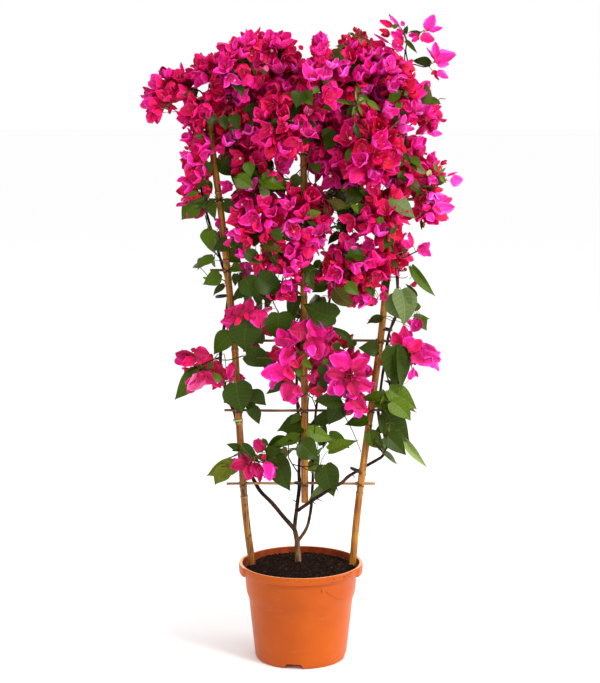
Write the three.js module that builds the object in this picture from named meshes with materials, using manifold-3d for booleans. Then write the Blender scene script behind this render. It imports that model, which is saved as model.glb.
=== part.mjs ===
// A potted bougainvillea, trained up a fan of three bamboo canes tied to thin split-cane slats.
// Millimetres, +Z up. The origin is the middle of the pot's underside; the plant's front looks
// toward -Y and +X is the viewer's right. Foliage and blossom are closed uneven masses; the canes,
// slats, trunk and limbs run whole and every mass is cut clear round them.
import * as THREE from "three";
import { mergeVertices } from "three/addons/utils/BufferGeometryUtils.js";
import Module from "manifold-3d";

const wasm = await Module();
wasm.setup();
const { Manifold, Mesh } = wasm;

const CLEAR = 2.4; // air left between neighbouring pieces
const FINE = 0.5; // air left between woody pieces that butt together

// ---------------------------------------------------------------- solids and meshes

function solidOf(geometry) {
  geometry.deleteAttribute("normal");
  geometry.deleteAttribute("uv");
  const g = mergeVertices(geometry, 1e-4);
  return new Manifold(
    new Mesh({
      numProp: 3,
      vertProperties: new Float32Array(g.attributes.position.array),
      triVerts: new Uint32Array(g.index.array),
    }),
  );
}

function geometryOf(solid) {
  const m = solid.getMesh();
  const step = m.numProp;
  const xyz = new Float32Array((m.vertProperties.length / step) * 3);
  for (let i = 0; i < xyz.length / 3; i++)
    for (let k = 0; k < 3; k++) xyz[3 * i + k] = m.vertProperties[i * step + k];
  const g = new THREE.BufferGeometry();
  g.setAttribute("position", new THREE.BufferAttribute(xyz, 3));
  g.setIndex(Array.from(m.triVerts));
  return g;
}

// the largest single body of a solid, so that a cut never leaves a crumb behind
function largest(solid) {
  let best = null;
  for (const body of solid.decompose())
    if (!best || body.volume() > best.volume()) best = body;
  return best;
}

const group = new THREE.Group();
const colours = {
  pot: 0xe0702c,
  soil: 0x2a1d16,
  cane: 0xb98a4a,
  slat: 0x9c7446,
  wood: 0x4d3626,
  bloom: 0xe01480,
  leaf: 0x3c6427,
};

function put(name, solid, look) {
  const mesh = new THREE.Mesh(
    geometryOf(solid),
    new THREE.MeshStandardMaterial({ color: colours[look] }),
  );
  mesh.name = name;
  group.add(mesh);
}

// ---------------------------------------------------------------- round tapering limbs

// a ring of the limb at each of the stations [x, y, z, radius], square to the smooth curve
// through them; grow swells it all round, flats and all, for cutting other pieces clear of it
function limb(stations, sides, grow = 0, straight = false) {
  const rings = stations.length - 1;
  const swell = grow > 0 ? 1 / Math.cos(Math.PI / sides) : 1;
  const points = stations.map((s) => new THREE.Vector3(s[0], s[1], s[2]));
  const curve = straight
    ? new THREE.CatmullRomCurve3(points, false, "catmullrom", 0.02)
    : new THREE.CatmullRomCurve3(points, false, "centripetal");
  const xyz = [];
  const index = [];
  const along = Math.abs(points[points.length - 1].x - points[0].x);
  const lying = along > 0.9 * points[0].distanceTo(points[points.length - 1]);
  let side = lying ? new THREE.Vector3(0, 0, 1) : new THREE.Vector3(1, 0, 0);
  const last = stations.length - 1;
  for (let i = 0; i <= rings; i++) {
    const t = i / rings;
    const at = curve.getPoint(t);
    const ahead = curve.getTangent(t).normalize();
    side = side.sub(ahead.clone().multiplyScalar(side.dot(ahead))).normalize();
    const up = new THREE.Vector3().crossVectors(ahead, side);
    const span = Math.min(last - 1, Math.floor(t * last));
    const mix = t * last - span;
    const r =
      swell * (stations[span][3] * (1 - mix) + stations[span + 1][3] * mix + grow);
    if (grow > 0 && i === 0) at.addScaledVector(ahead, -grow);
    if (grow > 0 && i === rings) at.addScaledVector(ahead, grow);
    for (let k = 0; k < sides; k++) {
      const a = (2 * Math.PI * k) / sides;
      const p = at
        .clone()
        .addScaledVector(side, r * Math.cos(a))
        .addScaledVector(up, r * Math.sin(a));
      xyz.push(p.x, p.y, p.z);
    }
    if (i === 0 || i === rings) xyz.push(at.x, at.y, at.z);
  }
  // the first ring's middle follows it, so every later ring starts one place on
  const ring = (i) => (i === 0 ? 0 : i * sides + 1);
  for (let i = 0; i < rings; i++)
    for (let k = 0; k < sides; k++) {
      const n = (k + 1) % sides;
      const a = ring(i) + k;
      const b = ring(i) + n;
      const c = ring(i + 1) + n;
      const d = ring(i + 1) + k;
      index.push(a, b, c, a, c, d);
    }
  const foot = sides;
  const tip = ring(rings) + sides;
  for (let k = 0; k < sides; k++) {
    const n = (k + 1) % sides;
    index.push(foot, n, k);
    index.push(tip, ring(rings) + k, ring(rings) + n);
  }
  const g = new THREE.BufferGeometry();
  g.setAttribute("position", new THREE.BufferAttribute(new Float32Array(xyz), 3));
  g.setIndex(index);
  return solidOf(g);
}

// ---------------------------------------------------------------- uneven masses

function seeded(seed) {
  let s = seed * 7919 + 17;
  return () => {
    s = (s * 1103515245 + 12345) % 2147483648;
    return s / 2147483648;
  };
}

// one swelling mass: an ellipsoid of radii (rx, ry, rz), leaning by lean degrees in the
// fan's own plane, pushed in and out by a few broad waves of its own
function mass(x, y, z, rx, ry, rz, lean, seed, detail, grow = 0) {
  const random = seeded(seed);
  const waves = [];
  for (let k = 0; k < 5; k++) {
    const azimuth = 2 * Math.PI * random();
    const height = 2 * random() - 1;
    const flat = Math.sqrt(1 - height * height);
    waves.push({
      dir: new THREE.Vector3(flat * Math.cos(azimuth), flat * Math.sin(azimuth), height),
      pitch: 2.6 + 3.2 * random(),
      phase: 2 * Math.PI * random(),
      rise: 0.055 - 0.006 * k,
    });
  }
  const g = new THREE.IcosahedronGeometry(1, detail);
  const p = g.attributes.position;
  const c = Math.cos((lean * Math.PI) / 180);
  const s = Math.sin((lean * Math.PI) / 180);
  const d = new THREE.Vector3();
  for (let i = 0; i < p.count; i++) {
    d.fromBufferAttribute(p, i).normalize();
    let m = 1.02;
    for (const w of waves) m += w.rise * Math.sin(w.pitch * d.dot(w.dir) + w.phase);
    const u = (rx * m + grow) * d.x;
    const w = (rz * m + grow) * d.z;
    p.setXYZ(i, x + u * c - w * s, y + (ry * m + grow) * d.y, z + u * s + w * c);
  }
  return solidOf(g);
}

// ---------------------------------------------------------------- pot

const POT = {
  height: 187,
  rimOuter: 116.5,
  mouth: 113,
  lugOuter: 120,
  lugDrop: 25,
  rimDrop: 16,
  wall: 2.4,
  floor: 3,
  notches: 4,
  notchWidth: 39,
  notchHeight: 9.5,
  notchFrom: 72,
  notchTurn: -8.6, // degrees from straight ahead, toward the viewer's left
};

function lathe(profile, segments) {
  const g = new THREE.LatheGeometry(
    profile.map(([r, z]) => new THREE.Vector2(r, z)),
    segments,
  );
  g.rotateX(Math.PI / 2);
  return solidOf(g);
}

const SEG = 28;
// outside of the body: rounded foot, even taper, small step, straight collar under the rim
const body = [
  [0, 0],
  [85, 0],
  [88.6, 4.5],
  [102.0, 124],
  [105.6, 127.5],
  [108.4, 171],
];
const rim = [
  [112.6, 170.5],
  [116.5, 174],
  [116.5, 185.6],
  [115.2, 187],
];
const outerPot = lathe([...body, ...rim, [0, 187]], SEG);

// grip lugs that stand out from the rim at left and right and hang a little lower
function lug(turn) {
  const spread = 0.44; // radians either side
  const shape = new THREE.Shape();
  const n = 6;
  for (let i = 0; i <= n; i++) {
    const a = -spread + (2 * spread * i) / n;
    const ease = Math.min(1, (spread - Math.abs(a)) / 0.1);
    const r = POT.rimOuter - 2 + (POT.lugOuter - POT.rimOuter + 2) * ease;
    const x = r * Math.cos(a);
    const y = r * Math.sin(a);
    if (i === 0) shape.moveTo(x, y);
    else shape.lineTo(x, y);
  }
  for (let i = n; i >= 0; i--) {
    const a = -spread + (2 * spread * i) / n;
    shape.lineTo(107 * Math.cos(a), 107 * Math.sin(a));
  }
  shape.closePath();
  const g = new THREE.ExtrudeGeometry(shape, { depth: POT.lugDrop - 1, bevelEnabled: false });
  g.translate(0, 0, POT.height - POT.lugDrop);
  g.rotateZ(turn);
  return solidOf(g);
}

// inside of the shell, a wall's thickness within the body, open at the top
const hollow = lathe(
  [
    [0, POT.floor],
    [85.4, POT.floor],
    [102.0 - POT.wall, 125.5],
    [105.6 - POT.wall, 129],
    [108.4 - POT.wall, 169],
    [POT.mouth, 173.5],
    [POT.mouth, 190],
    [0, 190],
  ],
  SEG,
);

// chamfered block across the foot; grow thickens it into the cover kept inside the shell
function notch(k, grow) {
  const w = POT.notchWidth / 2 + grow;
  const h = POT.notchHeight + grow;
  const cut = 5;
  const shape = new THREE.Shape();
  shape.moveTo(-w, -1);
  shape.lineTo(w, -1);
  shape.lineTo(w, h - cut);
  shape.lineTo(w - cut, h);
  shape.lineTo(-w + cut, h);
  shape.lineTo(-w, h - cut);
  shape.closePath();
  const g = new THREE.ExtrudeGeometry(shape, { depth: 60, bevelEnabled: false });
  g.rotateX(Math.PI / 2); // now reaches toward -Y
  g.translate(0, -POT.notchFrom + grow, 0);
  g.rotateZ((Math.PI / 180) * POT.notchTurn + (2 * Math.PI * k) / POT.notches);
  return solidOf(g);
}

let pot = outerPot.add(lug(0)).add(lug(Math.PI)).subtract(hollow);
for (let k = 0; k < POT.notches; k++) pot = pot.add(notch(k, POT.wall).intersect(outerPot));
for (let k = 0; k < POT.notches; k++) pot = pot.subtract(notch(k, 0));
pot = largest(pot.simplify(0.05));

// ---------------------------------------------------------------- canes and slats

const CANE = 6.5; // radius at the foot
const CANE_Y = 16;
const SLAT = 2.3;
const SLAT_Y = CANE_Y + CANE + SLAT + 0.7;

// canes are a little thicker at the foot than at the tip, and nearly straight
const canes = {
  cane_left: [
    [-79, CANE_Y, 24, CANE + 0.2],
    [-95.4, CANE_Y, 177, CANE + 0.1],
    [-110.7, CANE_Y, 319, CANE],
    [-127.3, CANE_Y, 618, CANE - 0.2],
    [-148.8, CANE_Y, 841, CANE - 0.4],
    [-165.3, CANE_Y, 978, CANE - 0.6],
    [-172, CANE_Y, 1068, CANE - 0.8],
  ],
  cane_middle: [
    [7.6, CANE_Y, 300.5, CANE],
    [7.0, CANE_Y, 470, CANE],
    [6.0, CANE_Y, 700, CANE - 0.2],
    [5.2, CANE_Y, 900, CANE - 0.4],
    [4.6, CANE_Y, 1052, CANE - 0.6],
  ],
  cane_right: [
    [78, 14, 24, CANE + 0.2],
    [95.6, 14, 164, CANE + 0.1],
    [100.6, 14, 180, CANE + 0.1],
    [112.4, CANE_Y, 309, CANE],
    [152.2, CANE_Y, 618, CANE - 0.2],
    [173.4, CANE_Y, 840, CANE - 0.4],
    [187.5, CANE_Y, 989, CANE - 0.6],
    [193, CANE_Y, 1050, CANE - 0.8],
  ],
};
const slats = [
  // height, left end, right end
  [335.5, -144, 144],
  [480.5, -147, 166],
  [615.5, -158, 182],
  [751.5, -172, 196],
  [885.5, -175, 214],
];

// everything that runs through the masses, each with a maker that can grow it
const through = [];
function keep(name, make, look, cutters = []) {
  let solid = make(0);
  for (const cut of cutters) solid = solid.subtract(cut);
  put(name, largest(solid), look);
  through.push(make);
  return make;
}

const caneMakers = [];
for (const [name, stations] of Object.entries(canes))
  caneMakers.push(keep(name, (g) => limb(stations, g ? 5 : 9, g, true), "cane"));
slats.forEach(([z, left, right], i) => {
  const bow = 0.8 * (i % 2 ? -1 : 1); // split cane is never quite straight
  const stations = [
    [left, SLAT_Y, z, SLAT * 0.9],
    [(left + right) / 2, SLAT_Y + 0.4, z + bow, SLAT],
    [right, SLAT_Y, z, SLAT * 0.85],
  ];
  const ends = [stations[0], stations[2]];
  keep(`slat_${i + 1}`, (g) => (g ? limb(ends, 4, g + 1.2) : limb(stations, 6)), "slat");
});

// ---------------------------------------------------------------- trunk and limbs

const BACK = 38; // limbs climb behind the slats
const woods = [
  ["trunk", 8, [
    [-1.5, 15, 120, 6.8],
    [-3.5, 15, 160, 6.6],
    [-4.5, 15, 182, 6.3],
    [-6.8, 15, 212, 5.6],
    [-7.2, 15, 224, 5.1],
    [-12.4, 15.5, 248, 4.3],
  ]],
  ["limb_left_low", 6, [
    [-16.5, 15, 252.2, 3.9],
    [-36.5, 18, 274.9, 3.6],
    [-56.4, 24, 297.9, 3.5],
    [-76.7, 30, 317.2, 3.4],
    [-88, 34, 334, 3.3],
    [-108.6, BACK, 379.6, 3.2],
    [-127.6, BACK, 470.6, 3.0],
  ]],
  ["limb_left_up", 6, [
    [-127.9, BACK, 472.2, 3.0],
    [-144, BACK, 514, 2.9],
    [-154.9, BACK, 582.4, 2.8],
    [-141, BACK, 684, 2.6],
    [-140.5, BACK, 722, 2.5],
    [-153.6, BACK, 772, 2.4],
    [-169.4, BACK, 823.5, 2.2],
    [-187, 34, 889, 2.0],
  ]],
  ["limb_middle", 6, [
    [-11.9, 17.2, 253.5, 3.6],
    [-6.5, 30, 297, 3.3],
    [-3.2, BACK, 324, 3.2],
    [-3.4, BACK, 352, 3.1],
  ]],
  ["limb_right_low", 6, [
    [-3.2, 23, 283.8, 3.0],
    [4.1, 15, 291.8, 3.0],
    [44.1, 4, 321.1, 2.9],
    [64.1, 4, 334.4, 2.8],
    [78, 8, 340.5, 2.8],
    [92, 24, 350, 2.8],
    [108, 36, 357, 2.7],
    [146, BACK, 378.7, 2.7],
    [159.2, BACK, 388, 2.6],
    [165.1, BACK, 403.5, 2.6],
  ]],
  ["limb_right_up", 6, [
    [165.2, BACK, 405.2, 2.6],
    [162.5, BACK, 429.2, 2.6],
    [150.6, BACK, 470.6, 2.5],
    [160.6, BACK, 566.8, 2.4],
    [170, BACK, 629, 2.4],
    [184, BACK, 668, 2.3],
    [186, BACK, 739, 2.2],
    [187.5, BACK, 768, 2.2],
  ]],
  ["limb_centre_right", 6, [
    [0.4, 16.5, 231.5, 2.9],
    [10.3, 20, 246.5, 2.8],
    [16.6, 27, 264.9, 2.7],
    [20.5, 33, 289.4, 2.6],
    [22.5, BACK, 320, 2.5],
    [23.4, BACK, 346, 2.5],
  ]],
  ["limb_right_tip", 6, [
    [198, 12, 1084, 1.6],
    [197.6, 11, 1110, 1.5],
    [199.1, 10, 1141, 1.4],
    [195.4, 10, 1161, 1.3],
    [196.6, 10, 1176, 1.2],
  ]],
  ["limb_right_tip_side", 6, [
    [201.4, 9.6, 1137.6, 1.1],
    [210.6, 8, 1137.9, 1.1],
    [228, 3, 1133, 1.0],
    [238, 1, 1134.5, 0.95],
  ]],
];
const woodCutters = caneMakers.map((make) => make(FINE));
for (const [name, sides, stations] of woods) {
  const make = keep(
    name,
    (g) => limb(stations, g ? 4 : sides, g),
    "wood",
    woodCutters,
  );
  woodCutters.push(make(FINE));
}

// ---------------------------------------------------------------- soil

// crumbly fill: a wall's clearance inside the pot and over the foot's notches, a shade lower
// and uneven at the edge, heaped a little toward the trunk, with the canes and trunk in it
function soilSolid() {
  const rings = [
    [66, POT.floor + 0.6],
    [68, 13],
    [86, 13.6],
    [102.0 - POT.wall - 0.9, 124],
    [105.6 - POT.wall - 1.4, 131],
    [105.0, 168],
    [103.5, 175],
    [72, 179],
    [36, 181.5],
  ];
  const random = seeded(5);
  const xyz = [0, 0, rings[0][1]];
  const index = [];
  rings.forEach(([r, z], i) => {
    for (let k = 0; k < SEG; k++) {
      const a = (2 * Math.PI * k) / SEG;
      const rough = i >= 6 ? 2 * (random() - 0.5) : 0;
      xyz.push(r * Math.cos(a), r * Math.sin(a), z + rough);
    }
  });
  xyz.push(0, 0, 182.6);
  const top = 1 + rings.length * SEG;
  for (let k = 0; k < SEG; k++) {
    const n = (k + 1) % SEG;
    index.push(0, 1 + n, 1 + k);
    for (let i = 0; i + 1 < rings.length; i++) {
      const a = 1 + i * SEG + k;
      const b = 1 + i * SEG + n;
      index.push(a, b, b + SEG, a, b + SEG, a + SEG);
    }
    index.push(top - SEG + k, top - SEG + n, top);
  }
  const g = new THREE.BufferGeometry();
  g.setAttribute("position", new THREE.BufferAttribute(new Float32Array(xyz), 3));
  g.setIndex(index);
  return solidOf(g);
}
let soil = soilSolid();
for (const make of through) soil = soil.subtract(make(FINE));
put("pot", pot, "pot");
put("soil", largest(soil), "soil");

// ---------------------------------------------------------------- foliage and blossom

// name, middle x y z, half width, half depth, half height, lean in degrees, look
const masses = [
  ["crown_left_tip", -252, -5, 1082, 36, 55, 60, -26, "bloom"],
  ["crown_left_upper", -176, 10, 1080, 54, 95, 82, -16, "bloom"],
  ["crown_left_top", -107, -38, 1136, 50, 95, 66, -12, "bloom"],
  ["crown_mid_top", -45, 40, 1140, 58, 100, 60, 3, "bloom"],
  ["crown_centre_top", 39, -30, 1111, 48, 108, 78, -3, "bloom"],
  ["crown_right_top", 106, 36, 1124, 58, 108, 74, 2, "bloom"],
  ["crown_right_shoulder", 178, -8, 1087, 40, 92, 70, 8, "bloom"],
  ["spray_tip_inner", 174, 10, 1181, 32, 42, 45, 6, "bloom"],
  ["spray_tip_outer", 243, 0, 1165, 29, 42, 59, 21, "bloom"],
  ["crown_right_tip", 229, 0, 1056, 29, 60, 53, 21, "bloom"],
  ["crown_left_side", -193, 5, 930, 31, 70, 88, -3, "bloom"],
  ["crown_left_lower", -111, 32, 1022, 68, 105, 78, -9, "bloom"],
  ["crown_centre_front", -30, -48, 1032, 60, 92, 77, -8, "bloom"],
  ["crown_centre_lower", 62, 42, 992, 60, 108, 76, -12, "bloom"],
  ["crown_right_lower", 131, -36, 994, 60, 104, 86, 1, "bloom"],
  ["crown_right_side", 196, 14, 957, 40, 80, 68, 2, "bloom"],
  ["crown_left_skirt", -79, 18, 925, 66, 90, 51, 5, "leaf"],
  ["mid_left_blooms", -80, -18, 832, 60, 82, 74, -1, "bloom"],
  ["mid_centre_blooms", 6, -6, 856, 50, 84, 75, 5, "bloom"],
  ["mid_centre_right", 81, 24, 874, 60, 86, 66, 0, "leaf"],
  ["mid_right_blooms", 154, -14, 859, 50, 82, 65, -6, "bloom"],
  ["mid_right_edge", 239, 0, 905, 50, 55, 66, -9, "bloom"],
  ["mid_low_blooms", -19, -16, 748, 48, 68, 60, 3, "bloom"],
  ["mid_right_low", 93, 0, 751, 79, 78, 67, -19, "bloom"],
  ["mid_right_corner", 183, 8, 779, 61, 62, 34, 11, "bloom"],
  ["left_leaf_strand", -172, 5, 793, 27, 40, 92, -4, "leaf"],
  ["mid_leaves_left", -84, 12, 712, 50, 66, 57, -1, "leaf"],
  ["low_left_blooms", -104, -5, 640, 54, 65, 54, 0, "bloom"],
  ["low_leaves_centre", 23, 8, 671, 47, 60, 43, -3, "leaf"],
  ["low_centre_blooms", -15, -10, 584, 67, 75, 93, 26, "bloom"],
  ["low_right_of_centre", 83, -5, 549, 60, 70, 95, 14, "bloom"],
  ["left_low_blooms", -180, -5, 568, 62, 50, 45, 19, "bloom"],
  ["left_low_leaves", -113, 0, 503, 35, 55, 51, 35, "leaf"],
  ["right_upper_leaves", 199, 0, 695, 43, 45, 69, -10, "leaf"],
  ["right_low_blooms", 194, -5, 594, 66, 50, 39, -8, "bloom"],
  ["right_low_leaves", 175, 5, 507, 44, 55, 62, 7, "leaf"],
  ["right_foot_leaves", 160, 0, 425, 56, 50, 42, -6, "leaf"],
  ["centre_foot_leaves", 14, 0, 402, 66, 62, 82, 10, "leaf"],
  ["left_foot_spray", -96, -10, 380, 84, 58, 38, 5, "bloom"],
];

// Two masses that press together part along one flat face: through the point on the line of
// their middles where they meet, square to the mean of their own outward slopes there.
function slope([, x, y, z, rx, ry, rz, lean], p) {
  const c = Math.cos((lean * Math.PI) / 180);
  const s = Math.sin((lean * Math.PI) / 180);
  const u = (p.x - x) * c + (p.z - z) * s;
  const w = -(p.x - x) * s + (p.z - z) * c;
  const [gu, gv, gw] = [u / rx ** 2, (p.y - y) / ry ** 2, w / rz ** 2];
  return new THREE.Vector3(gu * c - gw * s, gv, gu * s + gw * c);
}

// how far a mass reaches from its middle in the direction of d
function reach(m, d) {
  const g = slope(m, new THREE.Vector3(m[1], m[2], m[3]).add(d));
  return 1 / Math.sqrt(g.dot(d));
}

function parting(a, b) {
  const from = new THREE.Vector3(a[1], a[2], a[3]);
  const d = new THREE.Vector3(b[1], b[2], b[3]).sub(from);
  const apart = d.length();
  d.normalize();
  const ra = reach(a, d);
  const rb = reach(b, d);
  const meet = from.addScaledVector(d, (apart * ra) / (ra + rb));
  const n = slope(a, meet).normalize().sub(slope(b, meet).normalize()).normalize();
  return { n, at: n.dot(meet) };
}

const shaped = (grow) =>
  masses.map(([, x, y, z, rx, ry, rz, lean], i) =>
    mass(x, y, z, rx, ry, rz, lean, i + 1, rx * rz > 5000 ? 2 : 1, grow),
  );
const bodies = shaped(0);
const swollen = shaped(CLEAR);
masses.forEach((a, i) => {
  for (let j = i + 1; j < masses.length; j++) {
    if (bodies[i].intersect(swollen[j]).isEmpty()) continue;
    const { n, at } = parting(a, masses[j]);
    bodies[i] = bodies[i].trimByPlane([-n.x, -n.y, -n.z], -at + CLEAR / 2);
    bodies[j] = bodies[j].trimByPlane([n.x, n.y, n.z], at + CLEAR / 2);
  }
});
const woody = through.map((make) => make(CLEAR));
masses.forEach(([name, , , , , , , , look], i) => {
  let solid = bodies[i];
  for (const other of woody) solid = solid.subtract(other);
  put(name, largest(largest(solid).simplify(1.0)), look);
});

export default group;
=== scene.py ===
# A potted bougainvillea on a fan of three bamboo canes: the looks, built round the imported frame.
# Shapes are worked out in millimetres in the row frame (+Z up, front toward -Y) and written in metres.
import math

import bpy
import numpy as np
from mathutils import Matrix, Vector, noise


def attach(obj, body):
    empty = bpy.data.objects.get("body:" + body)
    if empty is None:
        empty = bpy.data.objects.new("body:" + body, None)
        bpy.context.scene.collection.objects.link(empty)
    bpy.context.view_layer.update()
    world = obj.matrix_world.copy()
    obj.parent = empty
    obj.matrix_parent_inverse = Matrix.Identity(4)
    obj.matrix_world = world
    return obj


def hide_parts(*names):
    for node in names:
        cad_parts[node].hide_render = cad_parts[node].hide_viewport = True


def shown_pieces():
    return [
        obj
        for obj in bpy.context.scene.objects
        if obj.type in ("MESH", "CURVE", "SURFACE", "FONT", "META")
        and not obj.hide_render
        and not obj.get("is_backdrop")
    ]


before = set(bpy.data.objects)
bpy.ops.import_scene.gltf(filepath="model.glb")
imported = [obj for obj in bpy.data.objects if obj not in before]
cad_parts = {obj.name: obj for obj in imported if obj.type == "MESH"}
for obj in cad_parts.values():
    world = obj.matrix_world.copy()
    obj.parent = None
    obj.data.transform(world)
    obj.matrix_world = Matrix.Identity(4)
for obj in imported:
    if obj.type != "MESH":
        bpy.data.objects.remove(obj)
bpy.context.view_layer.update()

MM = 0.001
RNG = np.random.default_rng(1907)
UP = np.array([0.0, 0.0, 1.0])

# ------------------------------------------------------------------ the viewing angle

VIEW_X, VIEW_Y, VIEW_Z = -1.5, -3000.0, 1039.0
PITCH, FOCAL = math.radians(7.99), 1592.6
CP, SP = math.cos(PITCH), math.sin(PITCH)


def at(px, py, y=0.0):
    """The point of the upright plane y that is seen at (px, py)."""
    a = (341.5 - py) / FOCAL
    dy = y - VIEW_Y
    dz = dy * (a * CP - SP) / (CP + a * SP)
    depth = dy * CP - dz * SP
    return np.array([VIEW_X + (px - 300.0) * depth / FOCAL, y, VIEW_Z + dz])


def seen(p):
    p = np.atleast_2d(p)
    dy, dz = p[:, 1] - VIEW_Y, p[:, 2] - VIEW_Z
    depth = dy * CP - dz * SP
    return np.stack(
        [
            300 + FOCAL * (p[:, 0] - VIEW_X) / depth,
            341.5 - FOCAL * (dy * SP + dz * CP) / depth,
        ],
        1,
    )


def unit(v):
    v = np.asarray(v, float)
    return v / np.maximum(np.linalg.norm(v, axis=-1, keepdims=True), 1e-9)


# ------------------------------------------------------------------ materials


def srgb(r, g, b):
    return tuple(
        (c / 255 / 12.92) if c <= 10 else ((c / 255 + 0.055) / 1.055) ** 2.4
        for c in (r, g, b)
    ) + (1.0,)


class Mat:
    """A Principled material and a few short ways to add nodes to it."""

    def __init__(self, name, colour, rough=0.5, spec=0.5, **more):
        self.mat = bpy.data.materials.new(name)
        self.mat.use_nodes = True
        self.nt = self.mat.node_tree
        self.b = self.nt.nodes["Principled BSDF"]
        self.b.inputs["Base Color"].default_value = colour
        self.b.inputs["Roughness"].default_value = rough
        self.b.inputs["Specular IOR Level"].default_value = spec
        for k, v in more.items():
            self.b.inputs[k.replace("_", " ")].default_value = v
        self.place = None

    def node(self, kind, **inputs):
        n = self.nt.nodes.new(kind)
        for k, v in inputs.items():
            key = k.replace("_", " ")
            if key in n.inputs:
                if isinstance(v, bpy.types.NodeSocket):
                    self.nt.links.new(v, n.inputs[key])
                else:
                    n.inputs[key].default_value = v
            else:
                setattr(n, k, v)
        return n

    def coords(self, scale=(1, 1, 1)):
        if self.place is None:
            self.place = self.nt.nodes.new("ShaderNodeTexCoord").outputs["Object"]
        m = self.nt.nodes.new("ShaderNodeMapping")
        self.nt.links.new(self.place, m.inputs["Vector"])
        m.inputs["Scale"].default_value = scale
        return m.outputs["Vector"]

    def noise(self, scale, detail=3.0, rough=0.55, stretch=(1, 1, 1)):
        n = self.nt.nodes.new("ShaderNodeTexNoise")
        self.nt.links.new(self.coords(stretch), n.inputs["Vector"])
        n.inputs["Scale"].default_value = scale
        n.inputs["Detail"].default_value = detail
        n.inputs["Roughness"].default_value = rough
        return n.outputs["Fac"]

    def ramp(self, fac, stops):
        r = self.nt.nodes.new("ShaderNodeValToRGB")
        self.nt.links.new(fac, r.inputs["Fac"])
        e = r.color_ramp.elements
        while len(e) < len(stops):
            e.new(0.5)
        for s, (pos, col) in zip(e, stops):
            s.position = pos
            s.color = col if len(col) == 4 else (*col, 1)
        return r.outputs["Color"]

    def mix(self, fac, a, b, kind="MIX"):
        m = self.nt.nodes.new("ShaderNodeMix")
        m.data_type = "RGBA"
        m.blend_type = kind
        for key, v in (("Factor", fac), ("A", a), ("B", b)):
            s = next(i for i in m.inputs if i.name == key and i.enabled)
            if isinstance(v, bpy.types.NodeSocket):
                self.nt.links.new(v, s)
            else:
                s.default_value = v
        return next(o for o in m.outputs if o.enabled)

    def to(self, key, socket):
        self.nt.links.new(socket, self.b.inputs[key])

    def bump(self, height, strength, distance):
        n = self.nt.nodes.new("ShaderNodeBump")
        n.inputs["Strength"].default_value = strength
        n.inputs["Distance"].default_value = distance
        self.nt.links.new(height, n.inputs["Height"])
        old = self.b.inputs["Normal"]
        if old.is_linked:
            self.nt.links.new(old.links[0].from_socket, n.inputs["Normal"])
        self.nt.links.new(n.outputs["Normal"], old)
        return self


# colours of the bracts, one row a tint: the blade, its deeper foot, its paler margin. The foot holds darker veins with
# a painted shade at the bract's base, and the margin is a painted highlight on the edges and tip; rows 2, 4 and 5 are
# lit copies in violet pink, and rows 8 to 12 are darker, shaded copies
BRACT_TINTS = [
    ((230, 9, 108), (204, 6, 88), (240, 34, 156)),
    ((220, 7, 88), (194, 5, 72), (234, 26, 128)),
    ((238, 20, 142), (214, 12, 114), (246, 56, 186)),
    ((206, 4, 66), (178, 3, 52), (222, 18, 104)),
    ((240, 38, 160), (216, 24, 132), (246, 84, 206)),
    ((240, 64, 184), (220, 42, 154), (246, 108, 216)),
    ((184, 8, 50), (156, 8, 40), (200, 20, 76)),
    ((228, 84, 146), (206, 34, 96), (236, 112, 168)),
    ((200, 9, 96), (174, 7, 76), (226, 42, 152)),
    ((176, 6, 74), (152, 5, 58), (202, 26, 116)),
    ((208, 24, 128), (182, 16, 100), (230, 60, 174)),
    ((216, 4, 66), (190, 3, 54), (230, 18, 106)),
    ((204, 3, 50), (174, 3, 40), (218, 12, 86)),
]
# colours of the leaves, one row a kind: upper side, midrib, underside
LEAF_TINTS = {
    "d": ((42, 57, 4), (52, 68, 10), (80, 98, 38)),
    "m": ((60, 81, 6), (74, 95, 16), (90, 110, 40)),
    "l": ((78, 99, 18), (98, 118, 38), (106, 124, 52)),
    "y": ((140, 154, 94), (164, 174, 118), (146, 158, 100)),
    "s": ((84, 98, 52), (100, 114, 68), (90, 104, 56)),
    "b": ((62, 54, 12), (88, 78, 30), (84, 82, 38)),
    "o": ((92, 99, 16), (108, 114, 30), (104, 108, 48)),
    "p": ((122, 140, 72), (138, 154, 90), (118, 134, 74)),
}
LEAF_KEYS = list(LEAF_TINTS)


def bract_materials():
    made = []
    for i, pair in enumerate(BRACT_TINTS):
        # foot: darker veins with painted shade at the base; margin: painted highlight on the edges
        for part, c in zip(("blade", "foot", "margin"), pair):
            m = Mat(f"bract_{part}_{i}", srgb(*c), rough=0.56, spec=0.22)
            m.bump(m.noise(125, 3, 0.6), 0.75, 0.0042)
            m.bump(m.noise(360, 4, 0.66), 0.7, 0.0015)
            m.bump(m.noise(1700, 2, 0.6), 0.3, 0.0004)
            made.append(m.mat)
    return made


def leaf_materials():
    made = []
    for key, trio in LEAF_TINTS.items():
        for part, c, rough in zip(("face", "rib", "under"), trio, (0.32, 0.45, 0.62)):
            m = Mat(f"leaf_{part}_{key}", srgb(*c), rough=rough, spec=0.1)
            m.bump(m.noise(330, 3, 0.6), 0.5, 0.0009)
            m.bump(m.noise(1500, 2, 0.6), 0.25, 0.0003)
            made.append(m.mat)
    return made


def stem_material(name, low, high):
    m = Mat(name, srgb(*low), rough=0.62, spec=0.25)
    f = m.noise(160, 3, 0.6)
    m.to("Base Color", m.ramp(f, [(0.35, srgb(*low)), (0.68, srgb(*high))]))
    m.bump(m.noise(900, 2, 0.6, (1, 1, 0.3)), 0.5, 0.0004)
    return m.mat


def plain_stem(name, colour, rough=0.55):
    m = Mat(name, srgb(*colour), rough=rough, spec=0.3)
    m.bump(m.noise(1200, 2, 0.6), 0.35, 0.0003)
    return m.mat


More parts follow.
